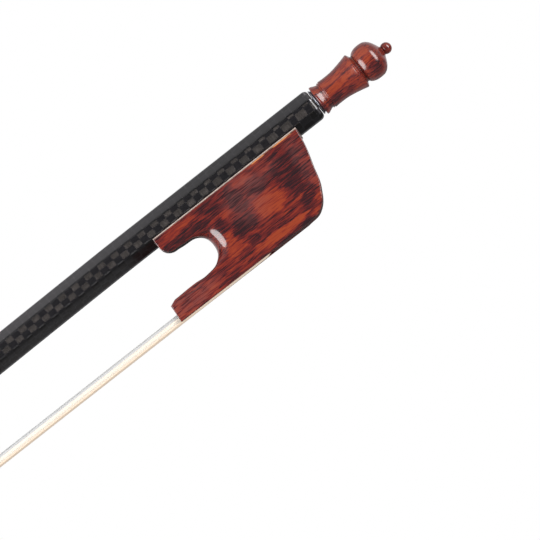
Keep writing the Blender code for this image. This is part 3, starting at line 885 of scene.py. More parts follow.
@dataclass(frozen=True)
class ThreadFinish(Finish):
    """Waxed thread wound round the knots."""

    colour: Point = (0.45, 0.05, 0.03)
    pitch: float = 0.2 * MM

    def paint(self, graph: Graph, place: Value) -> None:
        """Add the turns of the thread, with painted shade in the grooves between them.

        Args:
            graph: the material's nodes and links.
            place: the piece's own coordinates.
        """
        wound = (graph.split(place)[2] * (2 * math.pi / self.pitch)).math("SINE")
        # Painted shade: the thread is darker in the grooves between its turns.
        colour = graph.mix(wound.eased(-1.0, 1.0), shade(self.colour, 0.4), self.colour)
        graph.feed(graph.shader, Base_Color=colour, Roughness=0.55, Normal=graph.bump(wound, 0.03 * MM, 0.8))


def dress(piece: bpy.types.Object, material: bpy.types.Material, body: Body) -> None:
    """Give a piece its finish and its body.

    Args:
        piece: the piece.
        material: its material.
        body: the body that it rides on.
    """
    piece.data.materials.clear()
    piece.data.materials.append(material)
    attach(piece, body.value)


# Stick

@dataclass(frozen=True)
class HeadSection:
    """A section of the head, in mm from the throat and from the middle of the hair.

    Attributes:
        place: its place along the bow.
        crown_z: height of its top.
        sole_z: height of its bottom.
        crown: half width of its top.
        shoulder: half width at its upper corners.
        drop: share of its height from the top down to those corners.
        flank: half width at its lower corners.
        rise: share of its height from the bottom up to those corners.
        sole: half width of its bottom.
    """

    place: float
    crown_z: float
    sole_z: float
    crown: float
    shoulder: float
    drop: float
    flank: float
    rise: float
    sole: float


HEAD_SECTIONS = tuple(HeadSection(*row) for row in (
    (28.0, 14.40, 10.10, 0.89, 2.15, 0.29, 2.15, 0.29, 0.89),
    (16.0, 13.95, 9.85, 0.87, 2.10, 0.29, 2.10, 0.29, 0.87),
    (11.0, 13.70, 9.40, 0.90, 2.15, 0.29, 2.15, 0.28, 0.95),
    (7.5, 13.50, 8.50, 0.95, 2.25, 0.28, 2.25, 0.26, 1.10),
    (4.3, 13.15, 7.05, 1.00, 2.40, 0.28, 2.50, 0.22, 1.50),
    (2.7, 12.90, 5.80, 1.00, 2.50, 0.28, 2.82, 0.18, 2.00),
    (1.3, 12.50, 4.35, 1.00, 2.66, 0.28, 3.20, 0.14, 2.65),
    (0.4, 12.28, 2.90, 1.00, 2.75, 0.28, 3.56, 0.10, 3.15),
    (0.0, 12.15, 0.12, 1.00, 2.76, 0.22, 4.10, 0.06, 3.80),
    (-1.6, 11.73, 0.12, 0.98, 2.83, 0.235, 4.45, 0.06, 4.15),
    (-4.0, 11.05, 0.12, 0.95, 2.93, 0.28, 4.60, 0.06, 4.30),
    (-7.3, 10.05, 0.12, 0.90, 3.00, 0.31, 4.55, 0.07, 4.25),
    (-9.9, 9.20, 0.16, 0.90, 2.95, 0.33, 4.40, 0.08, 4.10),
    (-13.3, 8.15, 0.55, 0.85, 2.75, 0.35, 3.95, 0.12, 3.45),
    (-16.5, 7.10, 0.90, 0.80, 2.50, 0.36, 3.40, 0.16, 2.75),
    (-19.5, 6.30, 1.20, 0.75, 2.25, 0.36, 2.85, 0.20, 2.10),
    (-22.5, 5.60, 1.65, 0.75, 2.00, 0.34, 2.30, 0.24, 1.50),
    (-25.5, 5.15, 2.15, 0.75, 1.75, 0.31, 1.85, 0.28, 1.05),
    (-28.5, 5.60, 3.10, 0.72, 1.55, 0.30, 1.60, 0.29, 0.80),
    (-31.0, 6.50, 3.95, 0.70, 1.45, 0.29, 1.45, 0.29, 0.70),
    (-33.0, 7.25, 4.80, 0.65, 1.35, 0.29, 1.35, 0.29, 0.65),
    (-34.2, 6.95, 5.25, 0.50, 1.05, 0.30, 1.05, 0.30, 0.50),
    (-34.8, 6.45, 5.65, 0.25, 0.50, 0.30, 0.50, 0.30, 0.25),
))


@dataclass
class Stick:
    """The carbon stick with its head, as one moulding with rounded facet edges.

    Attributes:
        handle_length: the straight stretch that the frog slides on.
        slope: lean of the shaft in degrees, where it leaves the handle.
        taper_power: the shaft thins slowly at first and fast near the head.
        datum_z: height of the middle of the hair at the throat.
        edge_points: points of each rounded corner.
        facet_points: points between two rounded corners.
        handle_soft: share of a facet that a rounded corner takes on the handle.
        head_soft: the same share on the head.
        throat_soft: the same share around the throat.
        throat_span: places between which the throat's share holds, in mm from it.
        butt_length: length of the butt's rounded edge.
        butt_inset: how much thinner the butt's end is.
        shaft_start: where the handle's even sections begin, in front of the butt.
        shaft_steps: sections of the handle and the shaft.
        tow_row: width of a tow.
        tow_pitch: length of the weave from tow to tow.
        head_tow_pitch: the same length on the head.
        tow_anchor: place of one tow's middle, in front of the butt.
        tow_widening: tows lost behind the anchor, for each square mm of the way.
    """

    plan: Plan
    handle_length: float = 62.0 * MM
    slope: float = 0.6
    taper_power: float = 3.5
    datum_z: float = 0.95 * MM
    edge_points: int = 5
    facet_points: int = 5
    handle_soft: float = 0.13
    head_soft: float = 0.34
    throat_soft: float = 0.26
    throat_span: tuple[float, float] = (-14.0, 2.0)
    butt_length: float = 1.2 * MM
    butt_inset: float = 1.7 * MM
    shaft_start: float = 1.5 * MM
    shaft_steps: int = 90
    tow_row: float = 2.1 * MM
    tow_pitch: float = 2.0521 * MM
    head_tow_pitch: float = 2.02 * MM
    tow_anchor: float = 30.55 * MM
    tow_widening: float = 0.001

    def __post_init__(self) -> None:
        """Fit smooth curves through the head's sections."""
        rising = sorted(HEAD_SECTIONS, key=lambda section: section.place)
        places = [section.place for section in rising]
        names = [field.name for field in fields(HeadSection)[1:]]
        self.curves = {
            name: monotone(places, [getattr(section, name) for section in rising]) for name in names
        }

    @property
    def handle_x(self) -> float:
        """Front end of the straight handle."""
        return self.plan.butt_x - self.handle_length

    @property
    def root_x(self) -> float:
        """Where the head's sections take over from the shaft."""
        return self.plan.throat_x + HEAD_SECTIONS[0].place * MM

    def height(self, x: float) -> float:
        """Return the height of the stick's axis.

        Args:
            x: place along the bow.

        Returns:
            The height above the hair's playing face.
        """
        if x >= self.handle_x:
            return self.plan.axis_z
        root = HEAD_SECTIONS[0]
        drop = self.datum_z + (root.crown_z + root.sole_z) / 2 * MM - self.plan.axis_z
        span = self.handle_x - self.root_x
        t = (self.handle_x - x) / span
        lean = -math.tan(math.radians(self.slope)) * span
        return self.plan.axis_z + lean * t * (1 - t) ** 2 + drop * t * t * (3 - 2 * t)

    def flats(self, x: float) -> float:
        """Return the thickness across the flats.

        Args:
            x: place along the bow.

        Returns:
            The thickness.
        """
        root = (HEAD_SECTIONS[0].crown_z - HEAD_SECTIONS[0].sole_z) * MM
        t = clamp((x - self.root_x) / (self.handle_x - self.root_x))
        return HANDLE_FLATS - (HANDLE_FLATS - root) * (1 - t) ** self.taper_power

    def soft(self, x: float) -> float:
        """Return the share of each facet that its rounded edges take."""
        t = clamp((self.handle_x - x) / (self.handle_x - self.root_x))
        return self.handle_soft + (self.head_soft - self.handle_soft) * t ** 0.8

    def rounded(self, x: float, half: Sequence[tuple[float, float]], soft: float) -> Ring:
        """Return a mirrored section with rounded corners.

        Args:
            x: place along the bow.
            half: corners of the +Y half from crown to sole, as (y, z) in metres.
            soft: share of each facet that a rounded corner takes.

        Returns:
            The section's points, from the crown down +Y and up -Y.
        """
        outline = mirrored(half)
        ring = []
        for i, corner in enumerate(outline):
            before, after = outline[i - 1], outline[(i + 1) % len(outline)]
            here = Vector((x, *corner))
            start = here.lerp(Vector((x, *before)), soft)
            end = here.lerp(Vector((x, *after)), soft)
            for t in steps_between(0.0, 1.0, self.edge_points - 1):
                ring.append(start * (1 - t) ** 2 + here * 2 * t * (1 - t) + end * t * t)
            next_start = Vector((x, *after)).lerp(here, soft)
            ring += [end.lerp(next_start, t) for t in steps_between(0.0, 1.0, self.facet_points + 1)[1:-1]]
        return ring

    def shaft_ring(self, x: float, flats: float) -> Ring:
        """Return an eight-sided section of the shaft or the handle."""
        return self.rounded(x, eight_sided(flats, self.height(x)), self.soft(x))

    def head_ring(self, place: float) -> Ring:
        """Return a section of the head at a place in mm from the throat.

        Args:
            place: the place, which falls toward the tip.

        Returns:
            The section's points.
        """
        size = {name: curve(place) for name, curve in self.curves.items()}
        tall = size["crown_z"] - size["sole_z"]
        corners = (
            (size["crown"], size["crown_z"]), (size["shoulder"], size["crown_z"] - size["drop"] * tall),
            (size["flank"], size["sole_z"] + size["rise"] * tall), (size["sole"], size["sole_z"]),
        )
        scaled = [(y * MM, self.datum_z + z * MM) for y, z in corners]
        low, high = self.throat_span
        soft = self.throat_soft if low <= place <= high else self.head_soft
        return self.rounded(self.plan.throat_x + place * MM, scaled, soft)

    def sections(self) -> list[Ring]:
        """Return all sections from the butt to the tip.

        Returns:
            The sections, with the same number of points each.
        """
        butt = self.plan.butt_x
        rings = []
        for turn in steps_between(0.0, math.pi / 2, 5):
            x = butt - self.butt_length * (1 - math.cos(turn))
            rings.append(self.shaft_ring(x, HANDLE_FLATS - self.butt_inset * (1 - math.sin(turn))))
        shaft = steps_between(butt - self.shaft_start, self.root_x, self.shaft_steps)
        rings += [self.shaft_ring(x, self.flats(x)) for x in shaft]
        places = sorted((section.place for section in HEAD_SECTIONS), reverse=True)
        for start, end in zip(places, places[1:]):
            count = 6 if start - end > 2 else 4  # more steps where two sections are over 2 mm apart
            rings += [self.head_ring(place) for place in steps_between(start, end, count)[1:]]
        return rings

    def row_of(self, x: float, walked: float, height: float) -> float:
        """Return the weave's row at a point of the surface.

        Args:
            x: place along the bow.
            walked: way round the surface from the flank's lower corner, upward.
            height: height above the hair.

        Returns:
            The row, where whole numbers are the borders between rows.
        """
        # The borders between the flank's rows, in mm where the stick is thickest. They drift at the butt.
        scale = self.flats(x) / HANDLE_FLATS * MM
        toward_butt = clamp((x - self.plan.butt_x) / (80 * MM) + 1.056)
        low = 0.33 * scale
        middle = (1.75 + 0.71 * toward_butt ** 2) * scale
        high = (3.2 - 0.28 * toward_butt) * scale
        if walked < low:
            row = (walked - low) / self.tow_row
        elif walked < middle:
            row = (walked - low) / (middle - low)
        elif walked < high:
            row = 1 + (walked - middle) / (high - middle)
        else:
            row = 2 + (walked - high) / self.tow_row
        # On the head the rows are level and 2 mm high. They take over just behind it.
        in_head = clamp((self.root_x + 4 * MM - x) / (28 * MM))
        in_head = in_head * in_head * (3 - 2 * in_head)
        head_row = (height - 1.95 * MM) / (2.0 * MM) - 2
        return row + (head_row - row) * in_head

    def tow_of(self, x: float) -> float:
        """Return the tow's number at a place along the bow, a whole number at a tow's middle.

        Args:
            x: place along the bow.

        Returns:
            The number.
        """
        anchor = self.plan.butt_x - self.tow_anchor
        wide = max(x - anchor, 0.0) / MM
        tow = (max(x, self.plan.throat_x) - anchor) / self.tow_pitch - self.tow_widening * wide * wide
        return tow + min(x - self.plan.throat_x, 0.0) / self.head_tow_pitch

    def lay_weave(self, piece: bpy.types.Object, rings: Sequence[Ring]) -> None:
        """Write the UV map: tows along the bow, and rows round it, mirrored on the two flanks.

        Args:
            piece: the stick.
            rings: the sections that it was grown from.
        """
        count = len(rings[0])
        each = self.edge_points + self.facet_points
        corner = 2 * each + self.edge_points // 2
        half = 4 * each - (self.facet_points + 1) // 2
        layer = piece.data.uv_layers.new(name=WEAVE)
        ring_of, spoke_of = (piece.data.attributes[name].data for name in ("ring", "spoke"))
        walks = []
        for ring in rings:
            ways = [0.0]
            for before, after in zip(ring, ring[1: half + 1]):
                ways.append(ways[-1] + (after - before).length)
            walks.append([ways[corner] - way for way in ways])
        for face in piece.data.polygons:
            for loop in face.loop_indices:
                vert = piece.data.loops[loop].vertex_index
                ring, spoke = ring_of[vert].value, spoke_of[vert].value
                point = rings[ring][spoke]
                opposite = (2 * half - spoke) % count if spoke > half else spoke
                walked = walks[ring][min(opposite, half)]
                row = self.row_of(point.x, walked, point.z - self.datum_z)
                layer.data[loop].uv = (self.tow_of(point.x), row)

    def build(self, material: bpy.types.Material) -> None:
        """Build and dress the stick.

        Args:
            material: the carbon finish.
        """
        rings = self.sections()
        piece = grow("carbon_stick", rings)
        self.lay_weave(piece, rings)
        smooth(piece, 50)
        dress(piece, material, Body.STICK)
        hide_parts("stick")


# Frog

@dataclass(frozen=True)
class Spot:
    """A point of the frog's outline, in mm from a place along the bow and from a height.

    Attributes:
        start_x: the place along the bow, in metres.
        along: how far behind it the point lies.
        start_z: the height, in metres.
        up: how far above it the point lies.
        corner: whether the outline is sharp there.
    """

    start_x: float
    along: float
    start_z: float
    up: float
    corner: bool = False


@dataclass
class Frog:
    """The snakewood frog with its throat, its seat and its hair groove.

    Attributes:
        top_half: half its width at the top.
        sole_half: half its width at the hair.
        edge: radius of its flanks' edges.
        top_edge: the same radius beside the lining.
        front_edge: the same radius at the upper front.
        rear_edge: the same radius at the rear.
        hollow: the same radius in the throat's back.
        hollow_up: height of the hollow's middle in mm, and half its height.
        hollow_along: its place behind the front in mm, and its reach in front of that.
        round_steps: steps of each rounded edge.
        seat_half: half the seat's width, from flat to flat.
        groove_half: half the width of the hair's groove.
        groove_top: height of the groove.
        pocket_length: length of the pocket for the spread wedge, from the tongue's front.
        pocket_top: height of that pocket.
        mortise_half: half the width of the mortise.
        mortise_length: its length along the bow.
        mortise_top: its height.
    """

    plan: Plan
    top_half: float = 4.5 * MM
    sole_half: float = 5.8 * MM
    edge: float = 0.45 * MM
    top_edge: float = 0.08 * MM
    front_edge: float = 0.22 * MM
    rear_edge: float = 0.30 * MM
    hollow: float = 4.3 * MM
    hollow_up: tuple[float, float] = (10.6, 3.7)
    hollow_along: tuple[float, float] = (10.8, 4.2)
    round_steps: int = 14
    seat_half: float = 4.77 * MM
    groove_half: float = 4.95 * MM
    groove_top: float = 1.3 * MM
    pocket_length: float = 6.2 * MM
    pocket_top: float = 3.9 * MM
    mortise_half: float = 4.3 * MM
    mortise_length: float = 8 * MM
    mortise_top: float = 7.6 * MM

    def outline(self) -> list[Vector]:
        """Return the outline's points, clockwise from the front top corner.

        Returns:
            The points.
        """
        front, rear = self.plan.front_x, self.plan.frog_rear_x
        tongue, line = self.plan.tongue_x, self.plan.line_z
        spots = (
            Spot(front, 0.0, line, 0.0, True), Spot(rear, 0.0, line, 0.0, True),
            Spot(rear, -0.7, line, -4.8), Spot(rear, -2.1, line, -9.6),
            Spot(rear, -3.8, 0.0, 5.4), Spot(rear, -7.6, 0.0, 0.72),
            Spot(rear, -11.9, 0.0, -0.08, True), Spot(tongue, 0.0, 0.0, 0.06, True),
            Spot(tongue, 0.25, 0.0, 4.7, True), Spot(tongue, 2.0, 0.0, 5.4, True),
            Spot(front, 1.4, 0.0, 5.5), Spot(front, 5.2, 0.0, 5.3),
            Spot(front, 9.2, 0.0, 6.5), Spot(front, 10.8, line, -10.2),
            Spot(front, 9.3, line, -6.45), Spot(front, 4.2, line, -5.35),
            Spot(front, 1.55, line, -4.95), Spot(front, 0.2, line, -3.7), Spot(front, -0.08, line, -2.0),
        )
        deselect_all()
        bpy.ops.curve.primitive_bezier_circle_add(radius=MM)
        holder = bpy.context.object
        curve = holder.data
        curve.dimensions = "2D"
        curve.fill_mode = "NONE"
        curve.resolution_u = 14
        knots = curve.splines[0].bezier_points
        knots.add(len(spots) - len(knots))
        for knot, spot in zip(knots, spots):
            knot.co = (spot.start_x + spot.along * MM, spot.start_z + spot.up * MM, 0)
            knot.handle_left_type = knot.handle_right_type = "VECTOR" if spot.corner else "AUTO"
        bpy.ops.object.convert(target="MESH")
        points = [Vector((vert.co.x, 0, vert.co.y)) for vert in holder.data.vertices]
        bpy.data.objects.remove(holder, do_unlink=True)
        return points

    def rounding(self, point: Vector) -> float:
        """Return the radius of the flank's edge: wide in the throat's back, small elsewhere.

        Args:
            point: a point of the outline.

        Returns:
            The radius.
        """
        # Zones in mm, behind the frog's front and above the hair's playing face.
        along = (point.x - self.plan.front_x) / MM
        up = point.z / MM
        if point.z > self.plan.line_z - 0.05 * MM:
            return self.top_edge
        if along < 0.5 and up > 15.0:
            return self.front_edge
        if along > 40.0 and up > 6.0:
            return self.rear_edge
        if not (5.0 <= up <= 15.2 and along <= 13.0):
            return self.edge
        middle_up, half_up = self.hollow_up
        middle_along, reach = self.hollow_along
        near = math.exp(-(((up - middle_up) / half_up) ** 4))
        near *= math.exp(-((max(middle_along - along, 0.0) / reach) ** 2))
        return self.edge + (self.hollow - self.edge) * near

    def half_width(self, z: float) -> float:
        """Return the flank's distance from the middle at a height."""
        return self.sole_half + (self.top_half - self.sole_half) * z / self.plan.line_z

    def sections(self) -> list[Ring]:
        """Return the outline's layers from one flank to the other.

        Returns:
            The layers, with the same number of points each.
        """
        points = self.outline()
        count = len(points)
        inward = []
        for i, point in enumerate(points):
            tangent = points[(i + 1) % count] - points[i - 1]
            inward.append(Vector((tangent.z, 0, -tangent.x)).normalized())
        layers = []
        for turn in steps_between(0.0, math.pi / 2, self.round_steps):
            ring = []
            for point, side in zip(points, inward):
                radius = self.rounding(point)
                placed = point + side * radius * (1 - math.sin(turn))
                placed.y = self.half_width(placed.z) - radius * (1 - math.cos(turn))
                ring.append(placed)
            layers.append(ring)
        return layers + [[Vector((p.x, -p.y, p.z)) for p in ring] for ring in reversed(layers)]

    def build(self, material: bpy.types.Material) -> None:
        """Build and dress the frog.

        Args:
            material: the snakewood finish.
        """
        piece = grow("snakewood_frog", self.sections())
        plan = self.plan
        seat = mirrored(eight_sided(2 * self.seat_half, plan.axis_z))
        ends = (plan.frog_x - 3 * MM, plan.frog_rear_x + 3 * MM)
        cut(piece, grow("seat_cutter", [[Vector((x, y, z)) for y, z in seat] for x in ends]))
        front, pocket_end = plan.tongue_x - MM, plan.tongue_x + self.pocket_length
        wall, mortise_front = plan.wall_x, plan.wall_x - self.mortise_length
        for name, start, end, half, top in (
            ("groove_cutter", front, wall, self.groove_half, self.groove_top),
            ("pocket_cutter", front, pocket_end, self.groove_half, self.pocket_top),
            ("mortise_cutter", mortise_front, wall, self.mortise_half, self.mortise_top),
        ):
            cut(piece, block(name, (start, -half, -MM), (end, half, top)))
        smooth(piece, 35)
        apply_modifier(piece, "WEIGHTED_NORMAL", keep_sharp=True)
        dress(piece, material, Body.FROG)
        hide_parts("frog")


# Liner

@dataclass
class Liner:
    """The thin metal lining between frog and stick, with its rounded bright edges.

    Attributes:
        inner_half: half its inner width, from flat to flat.
        thick: its thickness.
        lip_y: distance of its edges' middles from the plane of symmetry.
    """

    plan: Plan
    inner_half: float = 4.35 * MM
    thick: float = 0.40 * MM
    lip_y: float = 4.42 * MM

    def section(self, x: float) -> Ring:
        """Return the lining's section: a folded strip with half-round edges.

        Args:
            x: place along the bow.

        Returns:
            The section's points.
        """
        inner, outer = self.inner_half, self.inner_half + self.thick
        bead = self.thick / 2
        middle = (1 + FLAT_RATIO) * (inner + outer) / 2
        half = [(0.0, -inner), (inner * FLAT_RATIO, -inner)]
        for turn in steps_between(135.0, -45.0, 10):
            angle = math.radians(turn)
            half.append((self.lip_y + bead * math.cos(angle), self.lip_y - middle + bead * math.sin(angle)))
        half += [(outer * FLAT_RATIO, -outer), (0.0, -outer)]
        other = [(-y, z) for y, z in reversed(half[1:-1])]
        return [Vector((x, y, self.plan.axis_z + z)) for y, z in half + other]

    def build(self, material: bpy.types.Material) -> None:
        """Build and dress the lining.

        Args:
            material: the metal finish.
        """
        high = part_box("underslide")[1]
        start, edge = self.plan.front_x, 0.05 * MM
        places = (start, start + edge, high.x - edge, high.x)
        piece = grow("silver_liner", [self.section(x) for x in places])
        smooth(piece, 40)
        dress(piece, material, Body.FROG)
        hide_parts("underslide")


# Button and collar

# Profiles as (place, radius) in mm, from each piece's front face.
BUTTON_PROFILE = (
    (0.0, 3.72), (0.06, 3.86), (0.22, 3.95), (0.45, 3.93), (0.62, 3.88), (0.9, 3.75), (1.3, 3.57),
    (1.7, 3.41), (1.94, 3.34), (2.03, 3.38), (2.12, 3.56), (2.24, 3.66), (2.36, 3.60), (2.46, 3.54),
    (2.55, 3.60), (2.66, 3.74), (2.85, 3.76), (3.3, 3.73), (4.2, 3.70), (5.5, 3.71), (7.0, 3.83), (8.6, 4.10),
    (10.1, 4.41), (11.5, 4.76), (11.8, 4.84), (12.0, 4.84), (12.12, 4.74), (12.45, 4.10), (12.7, 3.72),
    (12.95, 3.78), (13.2, 4.08), (13.9, 4.52), (14.8, 4.80), (15.8, 4.88), (16.8, 4.82), (17.7, 4.50),
    (18.4, 3.92), (18.9, 3.26), (19.25, 2.62), (19.5, 2.08), (19.7, 1.62), (19.85, 1.32), (20.05, 1.14),
)
COLLAR_PROFILE = (
    (0.0, 3.28), (0.03, 3.40), (0.12, 3.46), (0.24, 3.42), (0.4, 3.24), (0.6, 3.08), (0.9, 3.02),
)


@dataclass
class Button:
    """The turned button with its ball finial, and the collar between it and the stick."""

    plan: Plan
    spokes: int = 96
    ball_radius: float = 1.47 * MM
    bore_depth: float = 14.2 * MM

    def ring(self, x: float, radius: float) -> Ring:
        """Return a round section.

        Args:
            x: place along the bow.
            radius: its radius.

        Returns:
            The section's points.
        """
        return [
            Vector((x, radius * math.sin(turn), self.plan.axis_z + radius * math.cos(turn)))
            for turn in turns(self.spokes)
        ]

    def profile(self) -> list[tuple[float, float]]:
        """Return the button's profile as (place, radius) in metres, from its front face to its end.

        Returns:
            The profile, with the ball finial.
        """
        curve = monotone(*zip(*BUTTON_PROFILE))
        points = []
        for (start, _), (end, _) in zip(BUTTON_PROFILE, BUTTON_PROFILE[1:]):
            points += [(place * MM, curve(place) * MM) for place in steps_between(start, end, 4)[:-1]]
        neck_place, neck = (size * MM for size in BUTTON_PROFILE[-1])
        begin = math.asin(neck / self.ball_radius)
        middle = neck_place + self.ball_radius * math.cos(begin)
        for turn in steps_between(begin, math.pi, 14)[:-1]:
            points.append((middle - self.ball_radius * math.cos(turn), self.ball_radius * math.sin(turn)))
        points.append((middle + self.ball_radius, POLE))
        return points

    def build(self, wood: bpy.types.Material, silver: bpy.types.Material) -> None:
        """Build and dress the button and the collar.

        Args:
            wood: the button's finish.
            silver: the collar's finish.
        """
        start = self.plan.butt_x + COLLAR_LENGTH
        hole = [(self.bore_depth, POLE), (self.bore_depth, SCREW_BORE), (0.0, SCREW_BORE)]
        rings = [self.ring(start + place, radius) for place, radius in hole + self.profile()]
        button = grow("turned_button", rings)
        smooth(button, 40)
        dress(button, wood, Body.SCREW)
        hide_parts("button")

        low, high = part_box("button_collar")
        curve = monotone(*zip(*COLLAR_PROFILE))
        places = steps_between(0.0, COLLAR_PROFILE[-1][0], 24)
        section = [(low.x + place * MM, curve(place) * MM) for place in places]
        section += [(high.x, SCREW_BORE), (low.x, SCREW_BORE), section[0]]
        rings = [self.ring(x, radius) for x, radius in section]
        collar = grow("silver_collar", rings, closed_ends=False)
        activate(collar)
        bpy.ops.object.mode_set(mode="EDIT")
        bpy.ops.mesh.select_all(action="SELECT")
        bpy.ops.mesh.remove_doubles(threshold=0.001 * MM)
        bpy.ops.mesh.normals_make_consistent(inside=False)
        bpy.ops.object.mode_set(mode="OBJECT")
        smooth(collar, 40)
        dress(collar, silver, Body.SCREW)
        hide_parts("button_collar")


# Hair

UP = Vector((0, 0, 1))
SIDEWAYS = Vector((0, 1, 0))


@dataclass(frozen=True)
class Station:
    """A place along the hair: its middle, the way from its playing face up, its width and thickness."""

    middle: Vector
    up: Vector
    width: float
    thick: float


@dataclass
class Hair:
    """The ribbon of horsehair: a core of packed hair under a layer of single hairs.

    Attributes:
        head_width: its width at the throat.
        frog_width: its width at the frog's tongue.
        head_thick: its thickness at the throat.
        frog_thick: its thickness at the tongue.
        pressed: its thickness over the frog's sole.
        sole_thick: its thickness over the head's sole.
        head_bundle: its width in the head's mortise.
        frog_bundle: its width in the frog's mortise.
        head_wall: from the throat to the far wall of the head's mortise.
        clearance: from a mortise's wall to the hair.
        spread: how far from the tongue's front it thins toward the frog.
        squareness: 2 makes a core with an oval section, more a squarer one.
        skin: how deep the core lies under the outline.
        strand_radius: radius of the single hairs.
        strand_range: least and greatest share of that radius.
        strand_sides: sides of a single hair's section.
        stray: how far a single hair wanders to each side, in mm.
        seed: fixes where the single hairs wander.
    """

    plan: Plan
    head_width: float = 8.0 * MM
    frog_width: float = 9.6 * MM
    head_thick: float = 1.9 * MM
    frog_thick: float = 2.2 * MM
    pressed: float = 0.8 * MM
    sole_thick: float = 1.04 * MM
    head_bundle: float = 4.4 * MM
    frog_bundle: float = 8.0 * MM
    head_wall: float = 9.9 * MM
    clearance: float = 0.3 * MM
    spread: float = 6.0 * MM
    squareness: float = 3.5
    skin: float = 0.02 * MM
    strand_radius: float = 0.085 * MM
    strand_range: tuple[float, float] = (0.75, 1.15)
    strand_sides: int = 5
    stray: float = 0.03
    seed: int = 11

    def bend(self, wall: float, toward: int, width: float, thick: float) -> list[Station]:
        """Return the stations where the hair turns up into a mortise, from its top down.

        Args:
            wall: the mortise's wall that the hair lies against.
            toward: 1 where the free hair lies on the +X side, or -1.
            width: the hair's width.
            thick: its thickness.

        Returns:
            The four stations.
        """
        foot = wall + toward * (self.clearance + thick / 2)
        flat, leaning = Vector((toward, 0, 0)), Vector((toward, 0, 1)).normalized()
        # The bend grows with the hair's thickness.
        return [
            Station(Vector((foot, 0, 3 * thick)), flat, width, thick),
            Station(Vector((foot, 0, 2 * thick)), flat, width, thick),
            Station(Vector((foot + toward * 0.3 * thick, 0, 0.85 * thick)), leaning, width, thick),
            Station(Vector((foot + toward * 1.5 * thick, 0, thick / 2)), UP, width, thick),
        ]

    def stations(self) -> list[Station]:
        """Return the stations from the head's mortise to the frog's.

        Returns:
            The stations, in order.
        """
        throat, tongue = self.plan.throat_x, self.plan.tongue_x
        free = steps_between(throat + 0.25 * MM, tongue - self.spread, 24)
        level = [(throat - 0.2 * MM, self.head_width, self.sole_thick)]
        for i, x in enumerate(free):
            t = i / (len(free) - 1)
            width = self.head_width + (self.frog_width - self.head_width) * t
            level.append((x, width, self.head_thick + (self.frog_thick - self.head_thick) * t))
        level.append((tongue, self.frog_width - 0.3 * MM, self.frog_thick))
        level.append((tongue + self.spread, self.frog_width - 0.6 * MM, 1.0 * MM))
        at_head = self.bend(throat - self.head_wall, 1, self.head_bundle, self.sole_thick)
        at_frog = self.bend(self.plan.wall_x, -1, self.frog_bundle, self.pressed)
        middle = [Station(Vector((x, 0, thick / 2)), UP, width, thick) for x, width, thick in level]
        return at_head + middle + at_frog[::-1]

    def core_ring(self, station: Station, points: int = 28) -> Ring:
        """Return the core's section at a station.

        Args:
            station: the station.
            points: how many points it has.

        Returns:
            The section's points.
        """
        ring = []
        for turn in turns(points):
            y, z = (
                math.copysign(abs(part) ** (2 / self.squareness), part) * (size / 2 - self.skin)
                for part, size in ((math.cos(turn), station.width), (math.sin(turn), station.thick))
            )
            ring.append(station.middle + SIDEWAYS * y + station.up * z)
        return ring

    def build(self, material: bpy.types.Material) -> None:
        """Build and dress the core and the single hairs.

        Args:
            material: the horsehair finish.
        """
        stations = self.stations()
        core = grow("hair_core", [self.core_ring(station) for station in stations])
        smooth(core, 50)
        strands = self.strands(stations)
        take_normals(strands, core, 0.85)
        dress(core, material, Body.STICK)
        self.stretch(core)
        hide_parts("hair")
        dress(strands, material, Body.STICK)
        self.stretch(strands)

    def stretch(self, piece: bpy.types.Object) -> None:
        """Take a piece off its body again, and leave it where it is in the bow's frame.

        Args:
            piece: the core or the single hairs.
        """
        piece.parent = None
        piece.matrix_world = Matrix.Identity(4)
        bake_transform(piece)

    def places(self, across: int = 52, beside: int = 12) -> list[tuple[float, float]]:
        """Return where the single hairs lie, as shares of the half width and the half thickness.

        Args:
            across: hairs on each face.
            beside: hairs on each side.

        Returns:
            The places as (across, up), from -1 to 1, where each side's hairs stand out a little.
        """
        found = [((i + 0.5) / across * 2 - 1, face) for face in (1, -1) for i in range(across)]
        return found + [(side * 1.02, (i + 0.5) / beside * 2 - 1) for side in (1, -1) for i in range(beside)]

    def strands(self, stations: Sequence[Station]) -> bpy.types.Object:
        """Return the single hairs that cover the core, joined into one piece.

        Args:
            stations: the hair's stations.

        Returns:
            The piece.
        """
        dice = random.Random(self.seed)
        made = []
        for y_share, z_share in self.places():
            wander = [dice.uniform(-self.stray, self.stray) * MM for _ in range(2 * len(stations))]
            radius = self.strand_radius * dice.uniform(*self.strand_range)
            rings = []
            for station, along_y, along_z in zip(stations, wander[::2], wander[1::2]):
                y = y_share * (station.width / 2 - radius) + along_y
                z = z_share * (station.thick / 2 - radius) + 0.4 * along_z
                centre = station.middle + SIDEWAYS * y + station.up * z
                rings.append([
                    centre + SIDEWAYS * radius * math.cos(turn) + station.up * radius * math.sin(turn)
                    for turn in turns(self.strand_sides)
                ])
            made.append(grow(f"hair_{len(made):03d}", rings))
        deselect_all()
        for piece in made:
            piece.select_set(True)
        bpy.context.view_layer.objects.active = made[0]
        bpy.ops.object.join()
        joined = bpy.context.object
        joined.name = "hair_strands"
        smooth(joined, 80)
        return joined


# Studio

@dataclass(frozen=True)
class Softbox:
    """A soft elliptical light, seen from the frog.

    Attributes:
        name: its name.
        turn: degrees from the camera's side toward the button.
        rise: degrees above the level.
        half_width: half its width in degrees.
        half_height: half its height in degrees.
        radiance: its brightness.
        distance: how far away it hangs, in metres.
    """

    name: str
    turn: float
    rise: float
    half_width: float
    half_height: float
    radiance: float
    distance: float = 4.0


